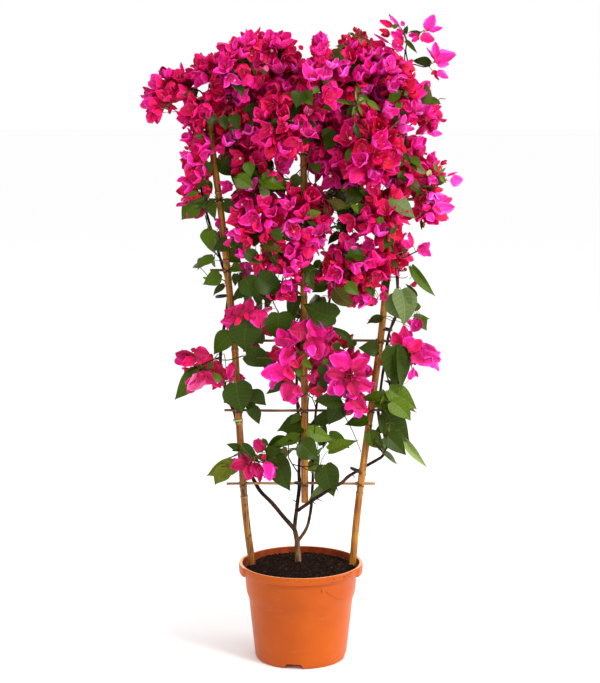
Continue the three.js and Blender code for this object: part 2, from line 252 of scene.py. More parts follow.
def bark_material():
    m = Mat("bark", srgb(60, 41, 28), rough=0.78, spec=0.13)
    grain = m.noise(240, 5, 0.62, (1, 1, 0.28))
    dark = m.ramp(
        grain, [(0.3, srgb(17, 10, 7)), (0.5, srgb(34, 22, 15)), (0.76, srgb(76, 49, 33))]
    )
    pale = m.ramp(
        grain, [(0.3, srgb(64, 42, 28)), (0.5, srgb(108, 75, 51)), (0.75, srgb(166, 126, 94))]
    )
    sep = m.node("ShaderNodeSeparateXYZ", Vector=m.coords())
    low = m.node(
        "ShaderNodeMapRange", Value=sep.outputs["Z"], From_Min=0.206, From_Max=0.262
    )
    red = m.ramp(m.noise(16, 2, 0.5), [(0.46, (0, 0, 0)), (0.6, (0.6, 0.6, 0.6))])
    dark = m.mix(red, dark, srgb(72, 39, 25))
    m.to("Base Color", m.mix(low.outputs["Result"], pale, dark))
    m.bump(grain, 0.8, 0.0012)
    m.bump(m.noise(1500, 3, 0.6), 0.4, 0.0004)
    return m.mat


def bamboo_material(name, tones, scars):
    m = Mat(name, srgb(150, 94, 34), rough=0.42, spec=0.26)
    fibre = m.noise(420, 4, 0.6, (1, 1, 0.035))
    base = m.ramp(fibre, [(at_, srgb(*c)) for at_, c in zip((0.3, 0.5, 0.72), tones)])
    patch = m.ramp(
        m.noise(26, 3, 0.6, (1, 1, 0.6)),
        [(0.36, srgb(190, 142, 100)), (0.62, srgb(252, 240, 206))],
    )
    skin = m.mix(0.85, base, patch, "MULTIPLY")
    spots = m.ramp(m.noise(210, 2, 0.5, (1, 1, 0.55)), [(0.64, (0, 0, 0)), (0.7, (0.9, 0.9, 0.9))])
    skin = m.mix(spots, skin, srgb(52, 31, 18))
    blots = m.ramp(m.noise(95, 3, 0.62, (1, 1, 0.32)), [(scars, (0, 0, 0)), (scars + 0.05, (0.88,) * 3)])
    skin = m.mix(blots, skin, srgb(46, 27, 15))
    m.to("Base Color", skin)
    m.bump(fibre, 0.35, 0.0005)
    return m.mat


def cane_ring_material():
    m = Mat("bamboo_ring", srgb(178, 140, 90), rough=0.6, spec=0.3)
    m.to(
        "Base Color",
        m.ramp(m.noise(320, 3), [(0.35, srgb(96, 62, 30)), (0.66, srgb(184, 144, 92))]),
    )
    m.bump(m.noise(900, 3), 0.5, 0.0005)
    return m.mat


def slat_material(name, tones):
    m = Mat(name, srgb(150, 108, 66), rough=0.58, spec=0.24)
    fibre = m.noise(380, 4, 0.6, (0.04, 1, 1))
    m.to(
        "Base Color",
        m.ramp(
            fibre,
            [(at_, srgb(*c)) for at_, c in zip((0.3, 0.52, 0.75), tones)],
        ),
    )
    m.bump(fibre, 0.6, 0.0006)
    return m.mat


def pot_material():
    m = Mat("terracotta_plastic", srgb(179, 74, 8), rough=0.36, spec=0.2)
    cloud = m.noise(9, 3, 0.5)
    scuffs = m.ramp(m.noise(70, 5, 0.7, (0.4, 0.4, 1.6)), [(0.58, (0, 0, 0)), (0.74, (1, 1, 1))])
    body = m.ramp(cloud, [(0.35, srgb(169, 71, 4)), (0.65, srgb(183, 82, 7))])
    worn = m.mix(0.15, body, srgb(214, 140, 92))
    m.to("Base Color", m.mix(scuffs, body, worn))
    m.to("Roughness", m.ramp(m.noise(42, 4, 0.65), [(0.3, (0.3,) * 3), (0.7, (0.44,) * 3)]))
    m.bump(m.noise(1400, 2, 0.5), 0.14, 0.0003)
    m.bump(m.noise(28, 3, 0.5), 0.1, 0.001)
    return m.mat


def soil_material(name, low, high, rough=0.95):
    m = Mat(name, srgb(*low), rough=rough, spec=0.06)
    m.to("Base Color", m.ramp(m.noise(330, 5, 0.7), [(0.32, srgb(*low)), (0.72, srgb(*high))]))
    m.bump(m.noise(700, 4, 0.7), 0.9, 0.0016)
    return m.mat


# ------------------------------------------------------------------ meshes


class Soup:
    """Triangles gathered from many small shapes, then made into one piece or several."""

    def __init__(self):
        self.parts = []

    def add(self, v, t, m=0):
        m = np.full(len(t), m, np.int32) if np.isscalar(m) else np.asarray(m, np.int32)
        self.parts.append((np.asarray(v, np.float32), np.asarray(t, np.int32), m))

    def many(self, tpl, rot, where, scale, shift=0):
        v, t, m = tpl
        k = len(where)
        if not k:
            return
        scale = np.broadcast_to(np.asarray(scale, float).reshape(k, -1), (k, 3))
        out = np.einsum("kij,knj->kni", rot, v[None] * scale[:, None]) + where[:, None]
        shift = np.broadcast_to(shift, (k,))
        for i in range(k):
            self.parts.append((out[i].astype(np.float32), t, m + shift[i]))

    def pieces(self, name, materials, limit=190000, flat=False):
        groups, size = [[]], 0
        for p in self.parts:
            if size + len(p[1]) > limit:
                groups.append([])
                size = 0
            groups[-1].append(p)
            size += len(p[1])
        made = []
        for i, g in enumerate(groups):
            if not g:
                continue
            first = np.cumsum([0] + [len(p[0]) for p in g[:-1]])
            v = np.concatenate([p[0] for p in g])
            t = np.concatenate([p[1] + f for p, f in zip(g, first)])
            m = np.concatenate([p[2] for p in g])
            made.append(
                piece(name if len(groups) == 1 else f"{name}_{i + 1}", v, t, m, materials, flat)
            )
        return made


def piece(name, v, t, m, materials, flat=False):
    me = bpy.data.meshes.new(name)
    v = np.asarray(v, np.float32) * MM
    t = np.asarray(t, np.int32)
    me.vertices.add(len(v))
    me.vertices.foreach_set("co", v.ravel())
    me.loops.add(t.size)
    me.loops.foreach_set("vertex_index", t.ravel())
    me.polygons.add(len(t))
    me.polygons.foreach_set("loop_start", np.arange(0, t.size, 3, dtype=np.int32))
    for mat in materials:
        me.materials.append(mat)
    me.polygons.foreach_set("material_index", np.asarray(m, np.int32))
    me.update(calc_edges=True)
    if not flat:
        me.shade_smooth()
    o = bpy.data.objects.new(name, me)
    bpy.context.scene.collection.objects.link(o)
    return o


def fix(o, slot, *replaces):
    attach(o, "root")
    if replaces:
        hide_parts(*replaces)
    return o


def grid_faces(rows, cols, closed):
    """Triangles of a rows x cols grid of vertices, wrapped round in its columns if closed."""
    out = []
    last = cols if closed else cols - 1
    for i in range(rows - 1):
        for k in range(last):
            a, b = i * cols + k, i * cols + (k + 1) % cols
            out += [(a, b, b + cols), (a, b + cols, a + cols)]
    return np.array(out, np.int32)


def tubes(points, radii, sides, caps=True):
    """Round tubes through points (k, n, 3) of radii (k, n): vertices (k, n*sides+2, 3), triangles."""
    points = np.asarray(points, float)
    radii = np.asarray(radii, float)
    k, n, _ = points.shape
    tan = unit(np.gradient(points, axis=1))
    chord = unit(points[:, -1] - points[:, 0])
    ref = np.where(np.abs(chord[:, 1:2]) < 0.8, [[0.0, 1.0, 0.0]], [[1.0, 0.0, 0.0]])
    side = unit(np.cross(tan, ref[:, None]))
    up = np.cross(side, tan)
    a = 2 * np.pi * np.arange(sides) / sides
    ring = (
        side[:, :, None] * np.cos(a)[None, None, :, None]
        + up[:, :, None] * np.sin(a)[None, None, :, None]
    )
    v = points[:, :, None] + ring * radii[:, :, None, None]
    v = v.reshape(k, n * sides, 3)
    v = np.concatenate([v, points[:, :1], points[:, -1:]], 1)
    t = grid_faces(n, sides, True)[:, ::-1]
    if caps:
        foot, tip = n * sides, n * sides + 1
        ends = []
        for j in range(sides):
            q = (j + 1) % sides
            ends += [(foot, j, q), (tip, (n - 1) * sides + q, (n - 1) * sides + j)]
        t = np.concatenate([t, np.array(ends, np.int32)])
    return v, t


def smooth_path(stations, step):
    """Catmull-Rom through stations (x, y, z, r), sampled about every step."""
    s = np.asarray(stations, float)
    p = np.vstack([2 * s[0] - s[1], s, 2 * s[-1] - s[-2]])
    out = []
    for i in range(1, len(p) - 2):
        n = max(2, int(np.linalg.norm(p[i + 1, :3] - p[i, :3]) / step))
        t = np.linspace(0, 1, n, endpoint=False)[:, None]
        a, b, c, d = p[i - 1], p[i], p[i + 1], p[i + 2]
        out.append(
            0.5
            * (2 * b + (c - a) * t + (2 * a - 5 * b + 4 * c - d) * t**2 + (3 * b - a - 3 * c + d) * t**3)
        )
    out.append(s[-1:])
    return np.vstack(out)


def bezier(a, b, c, d, n):
    t = np.linspace(0, 1, n)[None, :, None]
    a, b, c, d = (np.asarray(x, float)[:, None] for x in (a, b, c, d))
    return a * (1 - t) ** 3 + 3 * b * t * (1 - t) ** 2 + 3 * c * t**2 * (1 - t) + d * t**3


# ------------------------------------------------------------------ bract, flower, leaf


def bract(length, half, lean0, lean1, lean2, cup, crease, wave, phase, rings, deep_rings=2, point=(0.5, 0.72, 0.4379)):
    """One papery bract in (outward, sideways, along) of its flower, standing on the origin.
    lean is its slope from the flower's axis in degrees: at the foot, at the middle, and how far
    the tip rolls on from there."""
    fine = np.linspace(0, 1, 41)
    s = np.clip(fine / 0.6, 0, 1)
    s = s * s * (3 - 2 * s)
    lean = np.radians(lean0 + (lean1 - lean0) * s + lean2 * np.clip(fine - 0.45, 0, 1) ** 1.6 * 2.6)
    r = np.concatenate([[0], np.cumsum((np.sin(lean[1:]) + np.sin(lean[:-1])) / 2)]) / 40 * length
    z = np.concatenate([[0], np.cumsum((np.cos(lean[1:]) + np.cos(lean[:-1])) / 2)]) / 40 * length
    cols = (-1, -0.7, -0.435, -0.375, -0.032, 0.032, 0.375, 0.435, 0.7, 1)
    pleat = (0.2, -0.55, 0.5, 0.45, -0.75, -0.75, 0.45, 0.5, -0.55, 0.2)
    faces = len(cols) - 1
    v, rows = [(0, 0, 0)], []
    for t in rings:
        w = half * t ** point[0] * (1 - t) ** point[1] / point[2]
        R, Z, L = (np.interp(t, fine, q) for q in (r, z, lean))
        n = np.array([-math.cos(L), math.sin(L)])  # toward the inside of the cup
        row = []
        for x, fold in zip(cols, pleat):
            lift = cup * w * abs(x) ** 1.7 - 0.5 * crease * (1 - abs(x)) * (1 - 0.4 * t)
            lift += fold * crease * (0.55 + 0.45 * math.sin(6 * t + 2 * phase + 3 * x))
            lift += wave * abs(x) ** 1.5 * math.sin(10.5 * t + phase + (1.7 if x > 0 else 0))
            squeeze = 1 - 0.16 * cup * abs(x) + 0.05 * abs(x) * math.sin(17 * t + 2 * phase + x)
            row.append(len(v))
            v.append((R + n[0] * lift, x * w * squeeze, Z + n[1] * lift))
        rows.append(row)
    tip = len(v)
    v.append((r[-1], 0, z[-1]))
    t, m = [], []
    for i in range(faces):
        t.append((0, rows[0][i + 1], rows[0][i]))
        m.append(1)
    for j, (a, b) in enumerate(zip(rows, rows[1:])):
        for i in range(faces):
            t += [(a[i], a[i + 1], b[i + 1]), (a[i], b[i + 1], b[i])]
            # slot 1, the darker foot, takes the veins and a painted shade at the bract's base; slot 2, the paler
            # margin, is a painted highlight along the edges
            vein = i in (2, 4, 6) and j < (6 if i == 4 else 5)
            deep = (j < 1 or (j == 1 and 1 < i < faces - 2)) and j < deep_rings
            m += [1 if deep or vein else (2 if i in (0, faces - 1) and j > 1 else 0)] * 2
    # the tip takes the margin's painted highlight
    for i in range(faces):
        t.append((rows[-1][i], rows[-1][i + 1], tip))
        m.append(2)
    return np.array(v, float), np.array(t, np.int32), np.array(m, np.int32)


def turned(v, a):
    c, s = math.cos(a), math.sin(a)
    out = v.copy()
    out[:, 0], out[:, 1] = v[:, 0] * c - v[:, 1] * s, v[:, 0] * s + v[:, 1] * c
    return out


RINGS = (0.08, 0.22, 0.38, 0.54, 0.69, 0.82, 0.93)


def flower(kind, rng):
    """Three bracts round one axis. kind runs from 0, shut like a lantern, to 1, wide open."""
    vs, ts, ms, n = [], [], [], 0
    start = rng.uniform(0, 2 * math.pi)
    for k in range(3):
        open_ = np.clip(kind + rng.normal(0, 0.08), 0, 1.1)
        v, t, m = bract(
            length=33.5 * rng.uniform(0.9, 1.08),
            half=13.2 * rng.uniform(0.9, 1.1),
            lean0=58 + 22 * open_,
            lean1=4 + 52 * open_,
            lean2=-14 + 34 * open_ + rng.normal(0, 7),
            cup=0.62 - 0.34 * open_,
            crease=1.9,
            wave=rng.uniform(1.1, 2.7),
            phase=rng.uniform(0, 6),
            rings=RINGS,
        )
        v = turned(v, start + k * 2 * math.pi / 3 + rng.normal(0, 0.12))
        vs.append(v)
        ts.append(t + n)
        ms.append(m)
        n += len(v)
    return np.concatenate(vs), np.concatenate(ts), np.concatenate(ms), start


def floret(start, open_count, rng, kind):
    """The slim tubes that stand on the bracts, some with their small cream star open."""
    vs, ts, ms, n = [], [], [], 0
    for k in range(3):
        a = start + k * 2 * math.pi / 3
        out = np.array([math.cos(a), math.sin(a), 0])
        lean = math.radians(10 + 24 * kind)
        way = out * math.sin(lean) + UP * math.cos(lean)
        foot = out * 2.2 + UP * 1.5
        length = rng.uniform(13, 18)
        pts = np.array([foot, foot + way * length * 0.35, foot + way * length * 0.7 + out * 0.6, foot + way * length])
        v, t = tubes(pts[None], np.array([[0.9, 1.25, 0.95, 1.3]]), 5)
        vs.append(v[0])
        ts.append(t + n)
        ms.append(np.zeros(len(t), np.int32))
        n += len(v[0])
        if k < open_count:
            side = unit(np.cross(way, [0.3, 0.2, 0.9]))
            up = np.cross(way, side)
            c = pts[-1]
            ring = [c - way * 0.3]
            for j in range(10):
                b = math.pi * j / 5
                r = 3.7 if j % 2 == 0 else 1.7
                ring.append(c + way * (1.2 if j % 2 == 0 else 0.5) + (side * math.cos(b) + up * math.sin(b)) * r)
            tt = [(0, 1 + j, 1 + (j + 1) % 10) for j in range(10)]
            vs.append(np.array(ring))
            ts.append(np.array(tt, np.int32) + n)
            ms.append(np.ones(10, np.int32))
            n += 11
    return np.concatenate(vs), np.concatenate(ts), np.concatenate(ms)


# outline of a leaf: places along it, half widths there
OUTLINE = (
    (0, 0.05, 0.13, 0.25, 0.38, 0.52, 0.66, 0.78, 0.88, 0.95, 1),
    (0.52, 0.76, 0.93, 1.0, 0.97, 0.84, 0.63, 0.41, 0.21, 0.085, 0),
)


def leaf(rng, length=50.0, half=15.5):
    """A broad pointed leaf lying along +Y with its face up: two faces, with a raised midrib."""
    veins = (0.1, 0.24, 0.39, 0.54, 0.68)
    rings = [0.0, 0.02, 0.052] + [t + d for t in veins for d in (-0.0075, 0.0075)] + [0.8, 0.91]
    cols = (-1, -0.52, -0.045, 0.045, 0.52, 1)
    fold = rng.uniform(0.12, 0.46)
    droop = rng.uniform(0.04, 0.34)
    twist = rng.normal(0, 0.24)
    wave = rng.uniform(0.8, 2.6)
    phase = rng.uniform(0, 6)
    bend = rng.normal(0, 0.05)
    hook = rng.normal(0, 0.07)
    top, rows = [], []
    for t in rings:
        row = []
        for x in cols:
            a = abs(x)
            # the side veins run forward; the foot is lobed behind the stalk
            tt = t + 0.2 * a * (1 - t) * min(1, t / 0.1) if t else -0.055 * min(1, a * 2.2)
            w = half * np.interp(max(t, tt), OUTLINE[0], OUTLINE[1])
            y, z = length * tt * (1 - 0.1 * droop * tt), -droop * length * tt * abs(tt)
            x0 = bend * length * math.sin(math.pi * max(tt, 0)) + hook * length * max(tt - 0.6, 0) ** 2 * 3
            xx = x * w if a > 0.1 else math.copysign(min(0.55, 0.3 * w + 0.05), x)
            lift = fold * abs(xx) + twist * xx * tt - (0.35 if a < 0.1 else 0)
            lift += wave * a**2 * math.sin(8.5 * tt + phase + (2 if x > 0 else 0))
            row.append(len(top))
            top.append((x0 + xx, y, z + lift))
        rows.append(row)
    tip = len(top)
    top.append((hook * length * 0.48, length, -droop * length + 0.2))
    t, m = [], []
    part = (0, 0, 1, 0, 0)
    for j, (a, b) in enumerate(zip(rows, rows[1:])):
        vein = 3 <= j <= 12 and j % 2 == 1
        for i in range(5):
            t += [(a[i], a[i + 1], b[i + 1]), (a[i], b[i + 1], b[i])]
            m += [1 if vein else part[i]] * 2
    for i in range(5):
        t.append((rows[-1][i], rows[-1][i + 1], tip))
        m.append(part[i])
    v = np.array(top, float)
    t, m = np.array(t, np.int32), np.array(m, np.int32)
    under = v.copy()
    under[:, 2] -= 0.4
    vv = np.concatenate([v, under])
    tt = np.concatenate([t, t[:, ::-1] + len(v)])
    mm = np.concatenate([m, np.full(len(t), 2, np.int32)])
    return vv, tt, mm


KINDS = [0.05, 0.25, 0.45, 0.6, 0.75, 0.95]
FLOWERS, FLORETS = [], []
for i, kind in enumerate(KINDS):
    for j in range(3):
        v, t, m, start = flower(kind, RNG)
        FLOWERS.append((v, t, m))
        FLORETS.append(floret(start, (0, 1, 0)[j] if i in (3, 5) else 0, RNG, kind))
LEAVES = [leaf(RNG) for _ in range(10)]
SINGLE = [
    bract(33, 13, 14 + 7 * (i % 4), 4 - 3 * (i % 4), 8 * (i % 4) + (12 if i > 3 else -6), 0.2 + 0.1 * (i % 4),
          2.0 + 0.5 * (i % 3), 1.6 + 0.6 * (i % 2), i * 1.3, RINGS, 1, (0.5, 0.8, 0.4206))
    for i in range(8)
]


def basis(axis, spin):
    """Rotation matrices that take +Z to axis, turned by spin about it: (k, 3, 3)."""
    axis = unit(axis)
    ref = np.where(np.abs(axis[:, 2:3]) < 0.9, [[0.0, 0.0, 1.0]], [[1.0, 0.0, 0.0]])
    s = unit(np.cross(ref, axis))
    u = np.cross(axis, s)
    c, d = np.cos(spin)[:, None], np.sin(spin)[:, None]
    return np.stack([s * c + u * d, -s * d + u * c, axis], 2)


def leaf_basis(along, face):
    """Rotation matrices that lay a leaf along +Y of its own along a direction, face outward."""
    y = unit(along)
    x = unit(np.cross(y, face))
    z = np.cross(x, y)
    return np.stack([x, y, z], 2)


# ------------------------------------------------------------------ the crown's masses
# middle x y z, half width, half depth, half height, lean in degrees, leaves or blossom; as in
# the frame, whose solids they stand for

MASSES = {
    "crown_left_tip": (-252, -5, 1082, 36, 55, 60, -26, "b"),
    "crown_left_upper": (-176, 10, 1080, 54, 95, 82, -16, "b"),
    "crown_left_top": (-107, -38, 1136, 50, 95, 66, -12, "b"),
    "crown_mid_top": (-45, 40, 1140, 58, 100, 60, 3, "b"),
    "crown_centre_top": (39, -30, 1111, 48, 108, 78, -3, "b"),
    "crown_right_top": (106, 36, 1124, 58, 108, 74, 2, "b"),
    "crown_right_shoulder": (178, -8, 1087, 40, 92, 70, 8, "b"),
    "spray_tip_inner": (174, 10, 1181, 32, 42, 45, 6, "s"),
    "spray_tip_outer": (243, 0, 1165, 29, 42, 59, 21, "s"),
    "crown_right_tip": (229, 0, 1056, 29, 60, 53, 21, "b"),
    "crown_left_side": (-193, 5, 930, 31, 70, 88, -3, "b"),
    "crown_left_lower": (-111, 32, 1022, 68, 105, 78, -9, "b"),
    "crown_centre_front": (-30, -48, 1032, 60, 92, 77, -8, "b"),
    "crown_centre_lower": (62, 42, 992, 60, 108, 76, -12, "b"),
    "crown_right_lower": (131, -36, 994, 60, 104, 86, 1, "b"),
    "crown_right_side": (196, 14, 957, 40, 80, 68, 2, "b"),
    "crown_left_skirt": (-79, 18, 925, 66, 90, 51, 5, "l"),
    "mid_left_blooms": (-80, -18, 832, 60, 82, 74, -1, "b"),
    "mid_centre_blooms": (6, -6, 856, 50, 84, 75, 5, "b"),
    "mid_centre_right": (81, 24, 874, 60, 86, 66, 0, "l"),
    "mid_right_blooms": (154, -14, 859, 50, 82, 65, -6, "b"),
    "mid_right_edge": (239, 0, 905, 50, 55, 66, -9, "b"),
    "mid_low_blooms": (-19, -16, 748, 48, 68, 60, 3, "b"),
    "mid_right_low": (93, 0, 751, 79, 78, 67, -19, "b"),
    "mid_right_corner": (183, 8, 779, 61, 62, 34, 11, "b"),
    "left_leaf_strand": (-172, 5, 793, 27, 40, 92, -4, "l"),
    "mid_leaves_left": (-84, 12, 712, 50, 66, 57, -1, "l"),
    "low_left_blooms": (-104, -5, 640, 54, 65, 54, 0, "b"),
    "low_leaves_centre": (23, 8, 671, 47, 60, 43, -3, "l"),
    "low_centre_blooms": (-15, -10, 584, 67, 75, 93, 26, "b"),
    "low_right_of_centre": (83, -5, 549, 60, 70, 95, 14, "b"),
    "left_low_blooms": (-180, -5, 568, 62, 50, 45, 19, "b"),
    "left_low_leaves": (-113, 0, 503, 35, 55, 51, 35, "l"),
    "right_upper_leaves": (199, 0, 695, 43, 45, 69, -10, "l"),
    "right_low_blooms": (194, -5, 594, 66, 50, 39, -8, "b"),
    "right_low_leaves": (175, 5, 507, 44, 55, 62, 7, "l"),
    "right_foot_leaves": (160, 0, 425, 56, 50, 42, -6, "l"),
    "centre_foot_leaves": (14, 0, 402, 66, 62, 82, 10, "l"),
    "left_foot_spray": (-96, -10, 380, 84, 58, 38, 5, "l"),
}
MC = np.array([m[:3] for m in MASSES.values()], float)
MR = np.array([m[3:6] for m in MASSES.values()], float)
ML = np.radians([m[6] for m in MASSES.values()])
MLOOK = np.array([m[7] for m in MASSES.values()])


def in_masses(p):
    """(k, masses) radial share q of each point in each mass, and its depth under that surface."""
    d = p[:, None] - MC[None]
    c, s = np.cos(ML), np.sin(ML)
    u = d[..., 0] * c + d[..., 2] * s
    w = -d[..., 0] * s + d[..., 2] * c
    q = np.sqrt((u / MR[:, 0]) ** 2 + (d[..., 1] / MR[:, 1]) ** 2 + (w / MR[:, 2]) ** 2)
    far = np.linalg.norm(d, axis=2)
    return q, (1 - q) * far / np.maximum(q, 1e-6)


def outward(p, which):
    d = p - MC[which]
    c, s = np.cos(ML[which]), np.sin(ML[which])
    u = (d[:, 0] * c + d[:, 2] * s) / MR[which, 0] ** 2
    w = (-d[:, 0] * s + d[:, 2] * c) / MR[which, 2] ** 2
    g = np.stack([u * c - w * s, d[:, 1] / MR[which, 1] ** 2, u * s + w * c], 1)
    return unit(g)


def front_y(px, py):
    """How far forward the foliage reaches at a place of the view; None where no mass is."""
    best = None
    for y in range(-150, 151, 6):
        q, _ = in_masses(at(px, py, y)[None])
        if q.min() < 1:
            best = y
            break
    return best


# the openings between the sprays, in coarse steps of 5, as seen from the front: middle and radius
SKY = [
    # between and over the tops of the crown
    (225, 40, 4), (240, 35, 4), (295, 40, 5), (305, 50, 7), (335, 45, 6), (370, 40, 4),
    # round the two sprays at the right
    (415, 50, 5), (425, 55, 4), (435, 95, 4), (415, 135, 5), (445, 190, 5),
    # under the tip at the left and down the crown's left side
    (200, 90, 6), (180, 105, 5), (170, 115, 5), (185, 170, 4),
    # through the crown, beside the middle cane and at the right
    (295, 160, 5), (320, 180, 4), (410, 200, 5), (405, 230, 5), (415, 255, 4), (320, 255, 5),
    (255, 250, 5), (335, 220, 4), (275, 280, 4), (405, 285, 5), (425, 300, 6), (390, 290, 4),
    # along the leaves left of the left cane
    (200, 225, 5), (200, 250, 6), (200, 275, 5), (205, 290, 5),
    # between the canes at the height of the lower blooms
    (280, 305, 4), (340, 305, 4), (395, 320, 5), (265, 350, 6), (240, 355, 4), (215, 360, 5),
    (255, 380, 5), (180, 370, 6), (205, 390, 5), (435, 345, 4), (420, 370, 4), (410, 390, 4),
    # between the slats
    (280, 395, 7), (290, 415, 6), (225, 405, 6), (250, 420, 6), (275, 430, 6), (230, 415, 5),
    (340, 425, 6), (365, 405, 5), (360, 435, 6), (375, 430, 5), (410, 435, 4), (225, 455, 7),
    (295, 460, 7), (330, 460, 8), (340, 450, 5), (385, 460, 4), (400, 455, 4),
    # over the fork
    (320, 480, 7), (230, 480, 7), (260, 490, 8), (345, 490, 6), (295, 485, 5), (250, 490, 5),
]
SKY = np.array(SKY, float)
# lengths of cane that show in front: x0 y0 x1 y1 and half width
BARE = [
    (210, 127, 213, 140, 4), (212, 150, 216, 158, 4), (215, 177, 222, 224, 5), (225, 258, 231, 300, 5),
    (232, 300, 236, 345, 5), (235, 345, 240, 470, 5), (241, 470, 250, 520, 6),
    (302, 155, 303, 188, 5), (303, 276, 304, 292, 4), (303, 372, 304, 505, 4),
    (385, 298, 381, 345, 5), (378, 385, 366, 440, 5), (366, 440, 352, 520, 6),
]
BARE = np.array(BARE, float)


def off_bare(q):
    """Distance of places in the view from the bare lengths of cane, less their half widths."""
    a, b = BARE[:, :2], BARE[:, 2:4]
    ab = b - a
    t = np.clip(((q[:, None] - a) * ab).sum(2) / (ab**2).sum(1), 0, 1)
    return (np.linalg.norm(q[:, None] - (a + t[..., None] * ab), axis=2) - BARE[:, 4]).min(1)


# ------------------------------------------------------------------ trunk, limbs and boughs
# stations x y z radius; the first nine stand for the frame's own limbs, the rest climb on
# from them inside the masses

BACK = 38
LIMBS = {
    "trunk": [(-1.5, 15, 120, 6.8), (-3.5, 15, 160, 6.6), (-4.5, 15, 182, 6.3), (-6.8, 15, 212, 5.6),
              (-7.2, 15, 224, 5.1), (-12.4, 15.5, 248, 4.3), (-16.5, 15, 252.2, 4.0)],
    "limb_left_low": [(-11.5, 15.5, 246, 4.0), (-16.5, 15, 252.2, 3.9), (-36.5, 18, 274.9, 3.6),
                      (-56.4, 24, 297.9, 3.5), (-76.7, 30, 317.2, 3.4), (-88, 34, 334, 3.3),
                      (-108.6, BACK, 379.6, 3.2), (-127.6, BACK, 470.6, 3.0), (-131, BACK, 480, 3.0)],
    "limb_left_up": [(-127.9, BACK, 472.2, 3.0), (-144, BACK, 514, 2.9), (-154.9, BACK, 582.4, 2.8),
                     (-141, BACK, 684, 2.6), (-140.5, BACK, 722, 2.5), (-153.6, BACK, 772, 2.4),
                     (-169.4, BACK, 823.5, 2.2), (-187, 34, 889, 2.0)],
    "limb_middle": [(-10.5, 15.5, 243, 3.6), (-11.9, 17.2, 253.5, 3.6), (-6.5, 30, 297, 3.3),
                    (-3.2, BACK, 324, 3.2), (-3.4, BACK, 352, 3.1)],
    "limb_right_low": [(-8.5, 27, 281, 2.8), (-3.2, 23, 283.8, 3.0), (4.1, 15, 291.8, 3.0),
                       (44.1, 4, 321.1, 2.9), (64.1, 4, 334.4, 2.8), (78, 8, 340.5, 2.8),
                       (92, 24, 350, 2.8), (108, 36, 357, 2.7), (146, BACK, 378.7, 2.7),
                       (159.2, BACK, 388, 2.6), (165.1, BACK, 403.5, 2.6)],
    "limb_right_up": [(165.1, BACK, 403.5, 2.6), (162.5, BACK, 429.2, 2.6), (150.6, BACK, 470.6, 2.5),
                      (160.6, BACK, 566.8, 2.4), (170, BACK, 629, 2.4), (184, BACK, 668, 2.3),
                      (186, BACK, 739, 2.2), (187.5, BACK, 768, 2.2)],
    "limb_centre_right": [(-6.5, 15, 223, 3.0), (0.4, 16.5, 231.5, 2.9), (10.3, 20, 246.5, 2.8),
                          (16.6, 27, 264.9, 2.7), (20.5, 33, 289.4, 2.6), (22.5, BACK, 320, 2.5),
                          (23.4, BACK, 346, 2.5)],
    "limb_right_tip": [(196, 13, 1070, 1.7), (198, 12, 1084, 1.6), (197.6, 11, 1110, 1.5),
                       (199.1, 10, 1141, 1.4), (195.4, 10, 1161, 1.3), (196.6, 10, 1176, 1.2)],
    "limb_right_tip_side": [(199, 10, 1137.4, 1.15), (201.4, 9.6, 1137.6, 1.1), (210.6, 8, 1137.9, 1.1),
                            (228, 3, 1133, 1.0), (238, 1, 1134.5, 0.95)],
}
